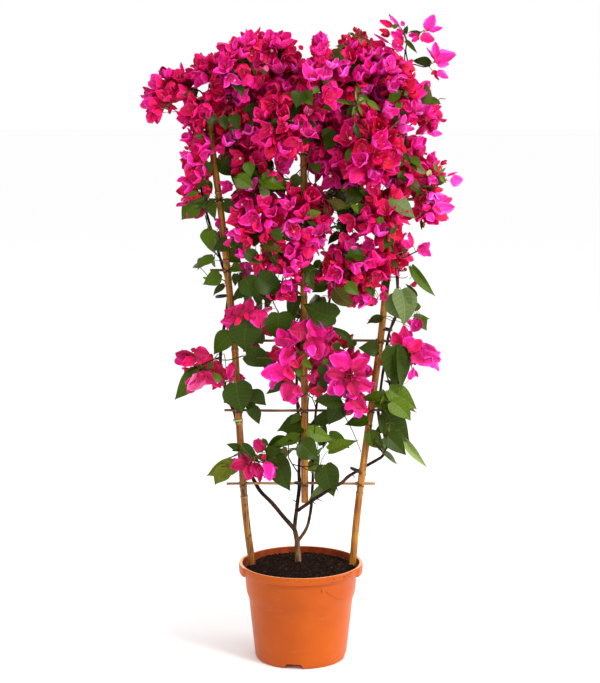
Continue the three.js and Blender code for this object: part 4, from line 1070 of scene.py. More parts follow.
# whole flowers: middle and radius, then, where it shows, the way they open (degrees in the view,
# how squarely they face front) and tint
SHOWN_FLOWERS = [
    # left tip
    (158, 85, 10, 160, 0.3, 1), (168, 75, 9, 100, 0.35, 2), (181, 79, 10, 90, 0.4, 1), (171, 107, 6, 300, 0.5, 3),
    (155, 103, 10, 170, 0.35, 1), (167, 97, 11, 120, 0.7, 1), (158, 112, 10, 215, 0.45, 1),
    (172, 84, 8, 250, 0.5, 3), (193, 108, 11, 180, 0.7, 1),
    (193, 120, 7, 230, 0.4, 3), (200, 113, 9, 200, 0.8, 0), (189, 137, 9, 150, 0.3, 2),
    (199, 130, 8, 120, 0.5, 3), (203, 120, 8, 200, 0.6, 3), 
    # top edge
    (194, 76, 8, 120, 0.5, 0), (204, 67, 10, 100, 0.6, 1), (203, 78, 11, 200, 0.7, 2),
    (216, 61, 9, 80, 0.4, 1), (213, 71, 9, 60, 0.6, 3), (229, 55, 9, 90, 0.5, 0),
    (226, 68, 11, 120, 0.7, 2), (232, 60, 8, 60, 0.6, 0), 
    (248, 42, 11, 90, 0.7, 2), (243, 54, 8, 60, 0.4, 2), (252, 50, 9, 270, 0.6, 3),
    (269, 42, 11, 110, 0.6, 2), (280, 45, 10, 80, 0.5, 2), (270, 51, 10, 250, 0.8, 0),
    (259, 56, 9, 200, 0.5, 0), (289, 55, 9, 20, 0.5, 1), (286, 56, 8, 300, 0.5, 3),
    (302, 66, 6, 80, 0.4, 1), (309, 66, 7, 90, 0.5, 4),
    (321, 39, 7, 90, 0.4, 2), (321, 52, 9, 100, 0.6, 2), (317, 50, 5, 150, 0.3, 0),
    (321, 60, 8, 80, 0.7, 0), (344, 38, 5, 100, 0.1, 6), (343, 47, 5, 60, 0.4, 3),
    (353, 46, 8, 90, 0.35, 2), (355, 30, 4, 95, 0.2, 6), (365, 37, 4, 15, 0.1, 6),
    (361, 55, 7, 120, 0.5, 0), (371, 54, 6, 100, 0.3, 4), (379, 56, 9, 90, 0.6, 4),
    (365, 59, 9, 90, 0.6, 2), (389, 68, 11, 60, 0.6, 4), (397, 80, 11, 300, 0.5, 4),
    (399, 79, 7, 20, 0.5, 2), (404, 84, 5, 270, 0.3, 6),
    # crown front
    (230, 78, 9, 300, 0.7, 4), (214, 83, 9, 20, 0.6, 1), (243, 68, 10, 270, 0.5, 3),
    (221, 95, 11, 150, 0.8, 1), (241, 96, 9, 0, 0.6, 2), (208, 96, 8, 180, 0.5, 1),
    (207, 107, 10, 230, 0.7, 0), (228, 107, 8, 90, 0.6, 3), (256, 95, 10, 60, 0.7, 1),
    (262, 82, 9, 100, 0.6, 3), (266, 68, 6, 240, 0.4, 7), (279, 70, 10, 100, 0.7, 4),
    (275, 86, 9, 250, 0.5, 1), (287, 88, 8, 110, 0.7, 2), (284, 98, 8, 300, 0.5, 3),
    (272, 104, 10, 200, 0.8, 1), (284, 116, 11, 120, 0.8, 1), (296, 70, 8, 80, 0.5, 4),
    (297, 80, 10, 250, 0.6, 3), (312, 76, 11, 90, 0.7, 4), (325, 76, 10, 80, 0.6, 4),
    (311, 87, 8, 60, 0.6, 0), (332, 66, 8, 90, 0.4, 5), (333, 84, 8, 250, 0.5, 0),
    (343, 72, 12, 90, 0.7, 4), (357, 76, 11, 60, 0.6, 2), (370, 70, 11, 110, 0.6, 2),
    (382, 70, 11, 90, 0.6, 2), (349, 90, 9, 300, 0.6, 1), (366, 92, 9, 100, 0.6, 5),
    (377, 96, 11, 30, 0.6, 2), (391, 88, 9, 40, 0.6, 4), (404, 103, 9, 270, 0.6, 0),
    (261, 118, 10, 120, 0.7, 0), (246, 117, 8, 280, 0.5, 6), (307, 113, 6, 60, 0.7, 7),
    (303, 118, 8, 240, 0.6, 0), (318, 112, 9, 40, 0.6, 1), (340, 119, 12, 200, 0.8, 1),
    (356, 118, 7, 300, 0.5, 6), (371, 118, 9, 60, 0.7, 0), (387, 113, 11, 30, 0.6, 4),
    (296, 127, 7, 130, 0.4, 2), (307, 133, 10, 80, 0.8, 4), (284, 126, 9, 200, 0.8, 1),
    (250, 132, 8, 120, 0.5, 4), (268, 128, 10, 200, 0.7, 1), (239, 134, 8, 180, 0.6, 2),
    (226, 142, 10, 60, 0.6, 4), (207, 143, 10, 170, 0.6, 2), (219, 147, 8, 290, 0.5, 0),
    (200, 148, 8, 200, 0.6, 0), (190, 159, 10, 190, 0.4, 4), (204, 152, 8, 300, 0.4, 2),
    (201, 168, 9, 230, 0.6, 2), (189, 187, 10, 190, 0.5, 2), (198, 178, 9, 160, 0.6, 0),
    (206, 188, 7, 300, 0.5, 6), (250, 145, 9, 90, 0.7, 1), (240, 157, 10, 200, 0.7, 1),
    (254, 160, 10, 30, 0.7, 1), (268, 143, 9, 120, 0.6, 0), (284, 150, 10, 60, 0.6, 2),
    (281, 166, 12, 40, 0.7, 4), (264, 164, 8, 240, 0.6, 6), (274, 175, 9, 280, 0.5, 1),
    (297, 141, 10, 230, 0.6, 1), (326, 120, 7, 100, 0.5, 3), (347, 139, 12, 110, 0.8, 1),
    (338, 153, 9, 220, 0.6, 0), (336, 162, 9, 160, 0.5, 2), (333, 178, 12, 230, 0.8, 2),
    (350, 185, 10, 270, 0.6, 2), (378, 142, 13, 40, 0.8, 2), (362, 160, 11, 140, 0.8, 2),
    (372, 172, 9, 300, 0.6, 4), (389, 184, 10, 20, 0.6, 4), (401, 128, 11, 30, 0.5, 5),
    (395, 152, 9, 250, 0.6, 0), (321, 152, 9, 200, 0.6, 1), (312, 145, 7, 280, 0.5, 3),
    (417, 109, 12, 60, 0.7, 5), (424, 119, 6, 250, 0.5, 6), (429, 113, 9, 20, 0.4, 2),
    (433, 123, 6, 330, 0.5, 0), (416, 145, 11, 40, 0.5, 2), (430, 158, 8, 20, 0.4, 2),
    (421, 164, 7, 270, 0.5, 0), (411, 117, 8, 300, 0.6, 0),
    # right edge
    (410, 178, 9, 200, 0.5, 0), (431, 178, 8, 300, 0.6, 4), (431, 195, 8, 280, 0.4, 5),
    (432, 197, 7, 240, 0.5, 4), (425, 208, 7, 200, 0.5, 2), (422, 249, 10, 0, 0.9, 5),
    (402, 243, 9, 10, 0.4, 2), (390, 257, 10, 320, 0.6, 3), (406, 260, 6, 250, 0.5, 0),
    # band under the crown
    (229, 186, 9, 200, 0.7, 2), (237, 197, 9, 280, 0.6, 1), (250, 187, 9, 100, 0.6, 4),
    (247, 203, 10, 250, 0.8, 2), (263, 205, 10, 60, 0.7, 0), (277, 201, 8, 280, 0.5, 3),
    (291, 191, 9, 60, 0.7, 1), (290, 206, 9, 120, 0.6, 2), (310, 196, 13, 60, 0.8, 1),
    (219, 221, 5, 200, 0.3, 2), (237, 216, 9, 180, 0.7, 1), (254, 218, 11, 230, 0.8, 2),
    (272, 214, 9, 120, 0.7, 2), (290, 225, 14, 300, 0.6, 4), (304, 232, 8, 340, 0.6, 1),
    (225, 232, 10, 190, 0.6, 4), (236, 232, 9, 250, 0.7, 4), (268, 223, 8, 300, 0.5, 2),
    (249, 241, 9, 200, 0.6, 3), (262, 238, 7, 0, 0.5, 3), (242, 254, 10, 150, 0.5, 2),
    (247, 267, 11, 220, 0.6, 4), (257, 273, 7, 300, 0.5, 2), (260, 258, 6, 130, 0.5, 3),
    (265, 266, 7, 330, 0.5, 1), (279, 261, 5, 0, 0.4, 6), (291, 255, 10, 110, 0.7, 2),
    (294, 263, 8, 330, 0.6, 4), (287, 274, 9, 60, 0.6, 2), (288, 284, 10, 260, 0.8, 2),
    (297, 278, 6, 330, 0.4, 0), (314, 240, 9, 250, 0.6, 2), (317, 232, 8, 100, 0.7, 4),
    (320, 221, 8, 60, 0.8, 1), (322, 240, 6, 300, 0.5, 5), (308, 288, 6, 250, 0.4, 4),
    (336, 252, 9, 250, 0.7, 0), (349, 248, 9, 60, 0.5, 2), (333, 263, 6, 220, 0.4, 6),
    (338, 273, 12, 200, 0.8, 2), (354, 267, 9, 340, 0.5, 4), (351, 221, 10, 200, 0.8, 1),
    (365, 215, 9, 60, 0.6, 0), (372, 220, 8, 300, 0.6, 1), (355, 236, 8, 250, 0.6, 1),
    (379, 232, 10, 60, 0.5, 4), (371, 243, 9, 200, 0.6, 2), (367, 262, 9, 330, 0.7, 2),
    (379, 274, 9, 250, 0.7, 1), (368, 285, 7, 260, 0.5, 6), (360, 276, 6, 240, 0.4, 3),
    (386, 211, 10, 100, 0.7, 1), (398, 217, 9, 330, 0.5, 1), (383, 288, 6, 300, 0.4, 0),
    (370, 300, 9, 180, 0.6, 1), (383, 298, 7, 60, 0.5, 0), (375, 301, 6, 200, 0.5, 2), (258, 264, 8, 240, 0.6, 3), (391, 224, 6, 260, 0.4, 3),
    # lower half, left
    (229, 313, 4, 120, 0.4, 1), (228, 322, 6, 200, 0.6, 2), (239, 310, 7, 110, 0.7, 2),
    (246, 308, 6, 80, 0.6, 1), (252, 309, 6, 30, 0.5, 2), (260, 318, 8, 320, 0.8, 4),
    (270, 309, 3.5, 60, 0.4, 7), (186, 359, 10, 185, 0.5, 2), (199, 352, 7, 60, 0.6, 0),
    (193, 386, 8, 200, 0.7, 7), (204, 381, 7, 120, 0.7, 0), (214, 385, 4, 300, 0.4, 2),
    (220, 383, 4, 0, 0.5, 2), (285, 342, 11, 100, 0.8, 2), (288, 354, 10, 30, 0.6, 1),
    (286, 365, 9, 200, 0.7, 2), (274, 377, 9, 200, 0.5, 4), (292, 392, 10, 280, 0.6, 2),
    (230, 370, 4, 90, 0.3, 2), (241, 378, 4, 0, 0.3, 2), (259, 446, 6, 80, 0.6, 4),
    (240, 463, 7, 185, 0.4, 2), (245, 457, 5, 60, 0.5, 4), (252, 469, 8, 160, 0.7, 0),
    (249, 477, 5, 200, 0.5, 2), (260, 474, 5, 300, 0.5, 1), (270, 470, 8, 300, 0.7, 2),
    # lower half, middle and right
    (296, 331, 9, 110, 0.7, 2), (304, 325, 6, 40, 0.5, 2), (312, 330, 10, 120, 0.8, 1),
    (325, 331, 7, 20, 0.6, 2), (318, 347, 11, 250, 0.7, 2), (354, 306, 3.5, 80, 0.3, 6),
    (365, 300, 9, 180, 0.5, 2), (342, 360, 10, 130, 0.6, 2), (361, 362, 10, 40, 0.6, 2),
    (333, 375, 9, 185, 0.5, 4), (339, 388, 9, 240, 0.6, 2), (356, 379, 10, 0, 0.8, 1),
    (366, 385, 8, 330, 0.4, 2), (352, 394, 8, 270, 0.5, 2), (346, 374, 9, 90, 0.9, 0),
    (299, 357, 4, 100, 0.2, 6), (312, 377, 4, 60, 0.4, 2), (317, 391, 5, 0, 0.3, 2),
    (354, 405, 8, 210, 0.6, 2), (361, 409, 7, 330, 0.5, 1), (357, 414, 5, 270, 0.4, 5),
    (414, 285, 4.5, 60, 0.4, 6), (405, 269, 3, 300, 0.2, 6), (423, 224, 4, 250, 0.2, 6),
    (415, 325, 7, 100, 0.6, 2), (400, 339, 8, 160, 0.6, 2), (408, 338, 7, 60, 0.6, 4),
    (422, 350, 9, 70, 0.5, 2), (431, 360, 10, 0, 0.5, 5), (416, 355, 8, 250, 0.7, 1),
    (413, 374, 4.5, 280, 0.4, 2), (443, 163, 5, 20, 0.1, 6), (434, 172, 4, 0, 0.2, 6),
]
# single bracts at the outline: foot, tip, width, tint
SHOWN_BRACTS = [
    (426, 31, 434, 15, 12, 4), (429, 31, 443, 27, 6, 4), (420, 37, 435, 39, 12, 0),
    (424, 32, 423, 42, 9, 2), (420, 33, 409, 36, 8, 4), (419, 36, 412, 42, 6, 4),
    (393, 27, 380, 20, 7, 1), (396, 23, 388, 14, 3.5, 5), (399, 27, 391, 16, 4, 5),
    (390, 34, 380, 29, 6, 6), (390, 35, 381, 34.5, 6, 6), (404, 41, 391, 32, 10, 2),
    (404, 42, 393, 40, 8, 1), (402, 36, 397, 29, 7, 2), (404, 26, 401, 21, 5, 4),
    (386, 46, 371, 42, 9, 1), (389, 43, 374, 34, 3, 5), (390, 48, 383, 52, 8, 2),
    (396, 47, 403, 50, 9, 2), (396, 48, 393, 41, 7, 4), (394, 49, 386, 56, 9, 0),
    (387, 60, 394, 57, 3, 2), (436, 58, 435, 42, 9, 4), (434, 61, 455, 52, 17, 4),
    (437, 63, 449, 65, 9, 5), (435, 60, 428, 47, 3, 5), (436, 72, 449, 77, 10, 4),
    (437, 71, 431, 74, 5, 6), (434, 74, 439, 80, 3, 1), (408, 96, 430, 86, 15, 2),
    (184, 74, 180, 62, 4, 2), (161, 86, 147, 83, 11, 2), (160, 84, 152, 74, 12, 2),
    (160, 104, 142, 102, 13, 2), (158, 112, 146, 118, 12, 1), (157, 111, 145, 111, 6, 3),
    (186, 118, 176, 112, 6, 0), (193, 104, 190, 92, 8, 3), (188, 150, 184, 146, 3, 3),
    (187, 154, 183, 150, 3, 3), (186, 178, 177, 181, 6, 2), 
    (197, 175, 191, 170, 4, 1), (430, 200, 447, 196, 12, 5), (432, 208, 455, 208, 14, 5),
    (427, 213, 434, 221, 9, 4), (422, 209, 431, 206, 7, 0), (450, 181, 463, 180, 13, 5),
    (447, 176, 457, 172, 3, 4), (430, 133, 442, 134, 7, 5), (411, 148, 424, 138, 12, 2),
    (432, 110, 441, 106, 7, 1), (413, 218, 398, 209, 12, 1), (299, 49, 303, 46, 6, 1),
    (318, 44, 317, 33, 8, 2), (324, 44, 325, 33, 7, 4), (314, 52, 310, 46, 5, 0),
    (327, 46, 330, 46, 4, 1), (234, 50, 236, 38, 5, 4),     # left arm
    (197, 360, 175, 355, 19, 2), (196, 357, 182, 366, 12, 1), (194, 353, 209, 355, 16, 2),
    (196, 358, 203, 362, 8, 1), (192, 352, 195, 348, 6, 2), (206, 374, 188, 390, 17, 7),
    (198, 372, 214, 384, 15, 1), (196, 378, 186, 384, 8, 4), (212, 382, 221, 388, 5, 1),
    (218, 384, 212, 390, 4, 2), (232, 362, 229, 379, 9, 2), (231, 374, 231, 384, 7, 4),
    (239, 373, 241, 384, 8, 4),
    # beside the left cane
    (237, 317, 222, 323, 14, 4), (236, 316, 225, 310, 11, 2), (236, 318, 243, 304, 15, 2),
    (246, 314, 252, 299, 13, 2), (248, 312, 256, 318, 8, 1), (257, 309, 261, 328, 19, 4),
    (262, 311, 271, 309, 6, 7), (240, 316, 236, 326, 7, 3), (244, 312, 249, 320, 6, 3),
    # left of the middle cane
    (296, 344, 274, 341, 14, 2), (294, 353, 275, 352, 11, 1), (288, 346, 286, 369, 18, 2),
    (288, 371, 261, 374, 20, 2), (292, 381, 286, 402, 19, 2), (290, 398, 282, 400, 5, 1),
    (296, 370, 302, 355, 6, 6), (284, 366, 294, 380, 11, 1), (294, 386, 300, 394, 10, 0),
    (282, 342, 284, 336, 10, 1), (292, 360, 298, 368, 8, 3),
    # over the middle cane
    (308, 332, 290, 330, 21, 1), (303, 334, 303, 320, 10, 2), (319, 344, 311, 319, 22, 2),
    (318, 341, 334, 331, 14, 4), (328, 334, 331, 323, 8, 2), (312, 336, 318, 360, 22, 2),
    (326, 340, 322, 358, 14, 1), (310, 344, 314, 356, 10, 4), (324, 330, 328, 326, 8, 0),
    # right of the middle cane
    (352, 366, 330, 357, 18, 2), (342, 366, 346, 351, 14, 2), (352, 372, 366, 358, 18, 2),
    (360, 362, 363, 355, 10, 4), (356, 370, 364, 380, 13, 1), (346, 374, 327, 373, 15, 1),
    (345, 380, 328, 394, 18, 4), (340, 384, 338, 396, 13, 2), (350, 380, 372, 389, 17, 2),
    (352, 380, 356, 397, 14, 1), (350, 396, 366, 411, 17, 1), (352, 402, 346, 410, 10, 0),
    (358, 408, 360, 418, 9, 5), (308, 374, 314, 384, 9, 1), (314, 374, 318, 375, 7, 1),
    (325, 390, 309, 391, 9, 6), (318, 392, 320, 398, 8, 1),
    # low on the left
    (247, 463, 230, 466, 13, 2), (252, 467, 240, 455, 14, 1), (249, 464, 250, 480, 14, 1),
    (254, 462, 258, 478, 12, 0), (260, 464, 259, 482, 9, 2), (266, 461, 271, 481, 14, 4),
    (263, 460, 265, 454, 5, 3), (265, 450, 254, 441, 15, 2), (264, 446, 262, 440, 5, 1),
    (262, 466, 257, 474, 6, 1),
    # right side
    (401, 346, 392, 333, 15, 1), (403, 347, 405, 326, 14, 2), (403, 345, 414, 339, 12, 2),
    (421, 320, 411, 331, 14, 4), (418, 320, 420, 328, 9, 2), (409, 352, 421, 340, 14, 1),
    (413, 351, 437, 351, 17, 4), (413, 356, 441, 360, 18, 5), (412, 353, 424, 364, 14, 2),
    (409, 380, 414, 368, 7, 4), (413, 370, 418, 377, 5, 4),
]

for y, r, places in SHOOTS:
    pts = np.array([at(px, py, y) for px, py in places])
    # each runs back at its foot to the bough that carries it
    i, far = bones.nearest(pts[0], 0.2, 1.0)
    j, far2 = bones.nearest(pts[-1], 0.2, 1.0)
    if far2 < far - 14 and len(places) > 2:
        pts, i, far = pts[::-1], j, far2
    r = min(r, 1.7)
    root = bones.p[i]
    mid = (root + pts[0]) / 2 + unit(pts[0] - root) * 0 + UP * -0.06 * far
    path = np.vstack([root, mid, pts]) if far > 12 else np.vstack([root, pts])
    rad = np.linspace(min(1.25 * r, bones.r[i] * 0.95 + 0.05), 0.72 * r, len(path))
    pts, rad = bark_tube(wood, np.column_stack([path, rad]), 7, 0.45, 5.0)
    bones.add(pts, rad)

THORNS = [(297, 502, 291, 499), (316, 498, 324, 502), (312, 501, 317, 505), (352, 474, 356, 479),
          (336, 488, 339, 493)]
for bx, by, tx, ty in THORNS:
    flat = np.linalg.norm(seen(bones.p[: bones.n]) - [bx, by], axis=1) + 9 * (bones.r[: bones.n] < 2.3)
    root = bones.p[int(np.argmin(flat))]
    tip = at(tx, ty, root[1] - 5)
    v, t = tubes(np.array([[root, root * 0.45 + tip * 0.55, tip]]), np.array([[1.3, 0.8, 0.1]]), 5)
    wood.add(v[0], t, 0)
for i in RNG.choice(len(bones.p), 90):
    if 0.9 < bones.r[i] < 3.2:
        way = unit(np.cross(bones.d[i], RNG.normal(size=3)) + 0.5 * bones.d[i])
        tip = bones.p[i] + way * (bones.r[i] + RNG.uniform(4, 8))
        mid = bones.p[i] + way * (bones.r[i] + 1.5)
        v, t = tubes(np.array([[bones.p[i], mid, tip]]), np.array([[1.0, 0.6, 0.08]]), 4)
        wood.add(v[0], t, 0)

# ------------------------------------------------------------------ where everything sits

flowers = dict(base=[], axis=[], scale=[], tint=[], kind=[], spin=[])
leaves = dict(base=[], along=[], face=[], scale=[], wide=[], kind=[])
bracts = dict(base=[], along=[], face=[], scale=[], wide=[], tint=[])
covered = []  # px, py, radius, y of everything placed in front


def depth_of(px, py, inset):
    y = front_y(px, py)
    if y is None:
        near = np.argmin(np.linalg.norm(seen(MC) - [px, py], axis=1))
        return MC[near, 1] + RNG.uniform(-14, 14)
    return y + inset


def facing(aim, square):
    a = math.radians(aim)
    side = math.sqrt(max(0.0, 1 - square * square))
    return unit([side * math.cos(a), -square, side * math.sin(a)])


for row in SHOWN_FLOWERS:
    px, py, r, aim, square, tint = row
    inset = RNG.uniform(14, 30) if py < 296 else RNG.uniform(30, 54)
    y = depth_of(px, py, inset)
    axis = facing(aim, square)
    scale = r * 1.885 / (21.0 if py < 296 else 19.5)
    kind = 0.42 if r > 8 else (0.34 if r > 5 else 0.12)
    kind = float(np.clip(kind + RNG.normal(0, 0.16), 0, 1))
    if tint == 6 and r < 6:
        kind = 0.0
    flowers["base"].append(at(px, py, y) - axis * scale * (15 - 8 * kind) * 0.75)
    flowers["axis"].append(axis)
    flowers["scale"].append(scale)
    flowers["tint"].append(tint)
    flowers["kind"].append(kind)
    flowers["spin"].append(RNG.uniform(0, 6.3))
    covered.append((px, py, r, y))
for bx, by, tx, ty, w, tint in SHOWN_BRACTS:
    y = depth_of((bx + tx) / 2, (by + ty) / 2, 12)
    a, b = at(bx, by, y), at(tx, ty, y + RNG.normal(0, 3))
    bracts["base"].append(a)
    bracts["along"].append(b - a)
    bracts["face"].append(unit([RNG.normal(0, 0.4), -1, RNG.normal(0.05, 0.42)]))
    # bracts low on the plant take the darker copies, those on the left more so: painted shade
    if by > 300 and RNG.random() < 0.8:
        tint = {0: 9, 1: 9, 2: 8, 4: 10, 5: 10}.get(tint, tint)
    if by > 300 and bx < 262:
        tint = {2: 8, 8: 9, 10: 8}.get(tint, tint)
    bracts["scale"].append(np.linalg.norm(b - a) / 31)
    bracts["wide"].append(w * 1.885 / 2 / 12.4)
    bracts["tint"].append(tint)
    covered.append(((bx + tx) / 2, (by + ty) / 2, 5, y))
for bx, by, tx, ty, w, kind in SHOWN_LEAVES:
    inset = RNG.uniform(8, 22) if by < 300 else RNG.uniform(14, 44)
    if w < 4 and by < 130:
        inset -= 16
    if kind == "s" and by < 300:
        inset -= 14
    y = depth_of((bx + tx) / 2, (by + ty) / 2, inset)
    a = at(bx, by, y)
    b = at(tx, ty, y + RNG.uniform(-14, 8))
    leaves["base"].append(a)
    leaves["along"].append(b - a)
    leaves["face"].append(unit([RNG.normal(0, 0.25), -1, RNG.normal(0.35, 0.25)]))
    leaves["scale"].append(np.linalg.norm(b - a) / 49)
    leaves["wide"].append(w * 1.885 / 2 / 13.6)
    leaves["kind"].append(LEAF_KEYS.index(kind))
    covered.append(((bx + tx) / 2, (by + ty) / 2, 0.45 * math.hypot(tx - bx, ty - by), y))
covered = np.array(covered, float)


# ------------------------------------------------------------------ the rest of the crown


class Spacing:
    def __init__(self, cell):
        self.cell, self.grid = cell, {}

    def key(self, p):
        return tuple((p // self.cell).astype(int))

    def free(self, p, far):
        a, b, c = self.key(p)
        for i in (a - 1, a, a + 1):
            for j in (b - 1, b, b + 1):
                for k in (c - 1, c, c + 1):
                    for q in self.grid.get((i, j, k), ()):
                        if (q[0] - p[0]) ** 2 + (q[1] - p[1]) ** 2 + (q[2] - p[2]) ** 2 < far * far:
                            return False
        return True

    def put(self, p):
        self.grid.setdefault(self.key(p), []).append(tuple(p))


def scatter(count):
    """Places all through the masses, nearly even over their volume."""
    share = np.prod(MR, axis=1) * np.where(MLOOK == "s", 0.0, 1.0)
    which = RNG.choice(len(MR), count, p=share / share.sum())
    v = unit(RNG.normal(size=(count, 3))) * (RNG.random(count) ** (1 / 3))[:, None]
    v = v * MR[which]
    c, s = np.cos(ML[which]), np.sin(ML[which])
    return MC[which] + np.stack(
        [v[:, 0] * c - v[:, 2] * s, v[:, 1], v[:, 0] * s + v[:, 2] * c], 1
    )


places = scatter(90000)
q, deep = in_masses(places)
which = deep.argmax(1)
depth = deep.max(1)
view = seen(places)
hole = np.full(len(places), 99.0)
for i in range(0, len(places), 10000):
    d = np.linalg.norm(view[i : i + 10000, None] - SKY[None, :, :2], axis=2) - SKY[:, 2]
    hole[i : i + 10000] = d.min(1)
bare = np.concatenate([off_bare(view[i : i + 10000]) for i in range(0, len(places), 10000)])
low = view[:, 1] > 296
front = places[:, 1] < 34
ok = (depth > 12) & (depth < 62) & (RNG.random(len(places)) < np.exp(-(depth - 12) / 26))
ok &= ~(front & (bare < 7.5))
ok &= ~(low & (places[:, 1] < 14))
flower_like = np.where(
    MLOOK[which] == "b",
    RNG.random(len(places)) < np.where(low, 0.72, 0.9),
    RNG.random(len(places)) < np.where(low, 0.02, 0.1),
)
# blossom gives way to leaf deeper inside
flower_like &= RNG.random(len(places)) < 1.15 - depth / 90
ok &= hole > np.where(flower_like, 6.4, 4.5)
index = np.flatnonzero(ok)
near_front = []
for i in index:
    d = np.hypot(covered[:, 0] - view[i, 0], covered[:, 1] - view[i, 1])
    near_front.append(
        not np.any((d < 0.8 * covered[:, 2] + 5.5) & (places[i, 1] < covered[:, 3] + 7))
    )
index = index[np.array(near_front)]
space = Spacing(26.0)
for b in flowers["base"]:
    space.put(np.asarray(b) + [0, 4, 0])
for b, a in zip(leaves["base"], leaves["along"]):
    space.put(np.asarray(b) + np.asarray(a) * 0.5)
kept = []
for i in index:
    far = 17.5 if flower_like[i] else 21.0
    if places[i, 2] < 800:
        far += 2
    if space.free(places[i], far):
        space.put(places[i])
        kept.append(i)
kept = np.array(kept)

# shoots that carry them: each small neighbourhood shares one
cells = {}
for i in kept:
    cells.setdefault(tuple(np.round(places[i] / 44.0).astype(int)), []).append(i)
anchors = []
for key, members in cells.items():
    mid = places[members].mean(0)
    inward = -outward(mid[None], which[members[:1]])[0]
    anchors.append((mid + inward * 13, members))
start_far = [bones.nearest(a, 0.2, 0.95)[1] for a, _ in anchors]
spray_of = {}
jobs = {6: [], 9: []}
for n in np.argsort(start_far):
    a, members = anchors[n]
    i, far = bones.nearest(a, 0.45, 0.55)
    root, way = bones.p[i].copy(), bones.d[i]
    chord = unit(a - root)
    n_pts = 6 if far < 40 else 9
    first = unit(0.45 * way * (1 if way @ chord > 0 else 0) + chord + 0.15 * UP + RNG.normal(0, 0.18, 3))
    last = unit(chord + 0.3 * UP + RNG.normal(0, 0.28, 3))
    path = bezier([root], [root + first * far * 0.36], [a - last * far * 0.36], [a], n_pts)[0]
    r0 = min(bones.r[i] * 0.85, 1.25 if far > 25 else 1.0)
    rad = np.linspace(r0, max(0.62, r0 * 0.62), n_pts)
    jobs[n_pts].append((path, rad))
    bones.add(path[1:], rad[1:])
    spray = RNG.choice(11, p=[0.24, 0.2, 0.15, 0.1, 0.08, 0.02, 0.01, 0.01, 0.09, 0.07, 0.03])
    # sprays on the lit right side take the lit violet-pink tints: painted light
    if a[0] > 165 and RNG.random() < 0.45:
        spray = RNG.choice([2, 4, 5])
    for m in members:
        spray_of[m] = spray
twigs = Soup()
for n_pts, rows in jobs.items():
    if rows:
        v, t = tubes(np.array([r[0] for r in rows]), np.array([r[1] for r in rows]), 5)
        for k in range(len(v)):
            twigs.add(v[k], t, 0)

for i in kept:
    p, mass = places[i], which[i]
    out = outward(p[None], np.array([mass]))[0]
    if flower_like[i]:
        axis = unit(out + 0.32 * UP + RNG.normal(0, 0.5, 3))
        tint = spray_of[i]
        if RNG.random() < 0.22:
            tint = RNG.choice([0, 1, 2, 3, 8, 9])
        # flowers deep in the crown take the darker crimson copies and lose the lit violet ones: painted shade by depth
        if depth[i] > 16 and RNG.random() < (0.95 if depth[i] > 30 else 0.6):
            tint = RNG.choice([11, 11, 12])
        elif depth[i] > 6 and tint in (2, 4, 5):
            tint = 0
        # flowers low on the plant take the darker copies: painted shade
        if low[i]:
            tint = {0: 9, 1: 9, 2: 8, 4: 8, 5: 10}.get(int(tint), tint)
        kind = float(np.clip(RNG.normal(0.45, 0.2), 0, 1))
        scale = RNG.uniform(0.84, 1.08)
        flowers["base"].append(p - axis * 9 * scale)
        flowers["axis"].append(axis)
        flowers["scale"].append(scale)
        flowers["tint"].append(int(tint))
        flowers["kind"].append(kind)
        flowers["spin"].append(RNG.uniform(0, 6.3))
    else:
        scale = RNG.uniform(0.62, 1.02)
        if low[i]:
            scale *= 1.08
        for _ in range(9):
            along = unit(0.75 * out - 0.25 * UP + RNG.normal(0, 0.5, 3))
            trace = seen(p + along * scale * np.array([[-24], [-8], [10], [26]]))
            gap = (np.linalg.norm(trace[:, None] - SKY[None, :, :2], axis=2) - SKY[:, 2]).min(1)
            clear = gap.min() > 2.4 and gap[1:3].min() > 4.2
            if clear and (p[1] > 30 or off_bare(trace).min() > 3.5):
                break
        else:
            continue
        leaves["base"].append(p - along * 24 * scale)
        leaves["along"].append(along)
        leaves["face"].append(unit(0.7 * UP + 0.6 * out + RNG.normal(0, 0.35, 3)))
        leaves["scale"].append(scale)
        leaves["wide"].append(scale * RNG.uniform(0.92, 1.12))
        leaves["kind"].append(int(RNG.choice(6, p=[0.52, 0.33, 0.07, 0.015, 0.015, 0.05])))

for d in (flowers, leaves, bracts):
    for k in d:
        d[k] = np.array(d[k])

# ------------------------------------------------------------------ stalks


def stalks(base, end_way, r0, r1, reach, keep_short=None):
    """A stalk to each base from the nearest shoot, arriving along end_way."""
    rows, rad = [], []
    for b, w in zip(base, end_way):
        i, far = bones.nearest(b - w * min(reach, 10), 0.25, 0.0)
        root = bones.p[i]
        gap = np.linalg.norm(b - root)
        if gap > 36:
            i2, far2 = bones.nearest(b, 0.0, 0.0)
            root, gap = bones.p[i2], np.linalg.norm(b - bones.p[i2])
        c = unit(b - root)
        rows.append(bezier([root], [root + (c + 0.25 * UP) * gap * 0.33], [b - unit(w + c * 0.4) * gap * 0.36], [b], 5)[0])
        rad.append(np.linspace(r0, r1, 5))
    return np.array(rows), np.array(rad)


stems = Soup()
p, r = stalks(flowers["base"], flowers["axis"], 0.62, 0.5, 8)
v, t = tubes(p, r, 4)
for k in range(len(v)):
    stems.add(v[k], t, 1 if k % 3 else 0)
p, r = stalks(bracts["base"], unit(bracts["along"]), 0.5, 0.45, 5)
v, t = tubes(p, r, 4)
for k in range(len(v)):
    stems.add(v[k], t, 1)
p, r = stalks(leaves["base"], unit(leaves["along"]), 0.72, 0.55, 9)
v, t = tubes(p, r, 4)
for k in range(len(v)):
    stems.add(v[k], t, 0)

# ------------------------------------------------------------------ blossom and leaves as meshes

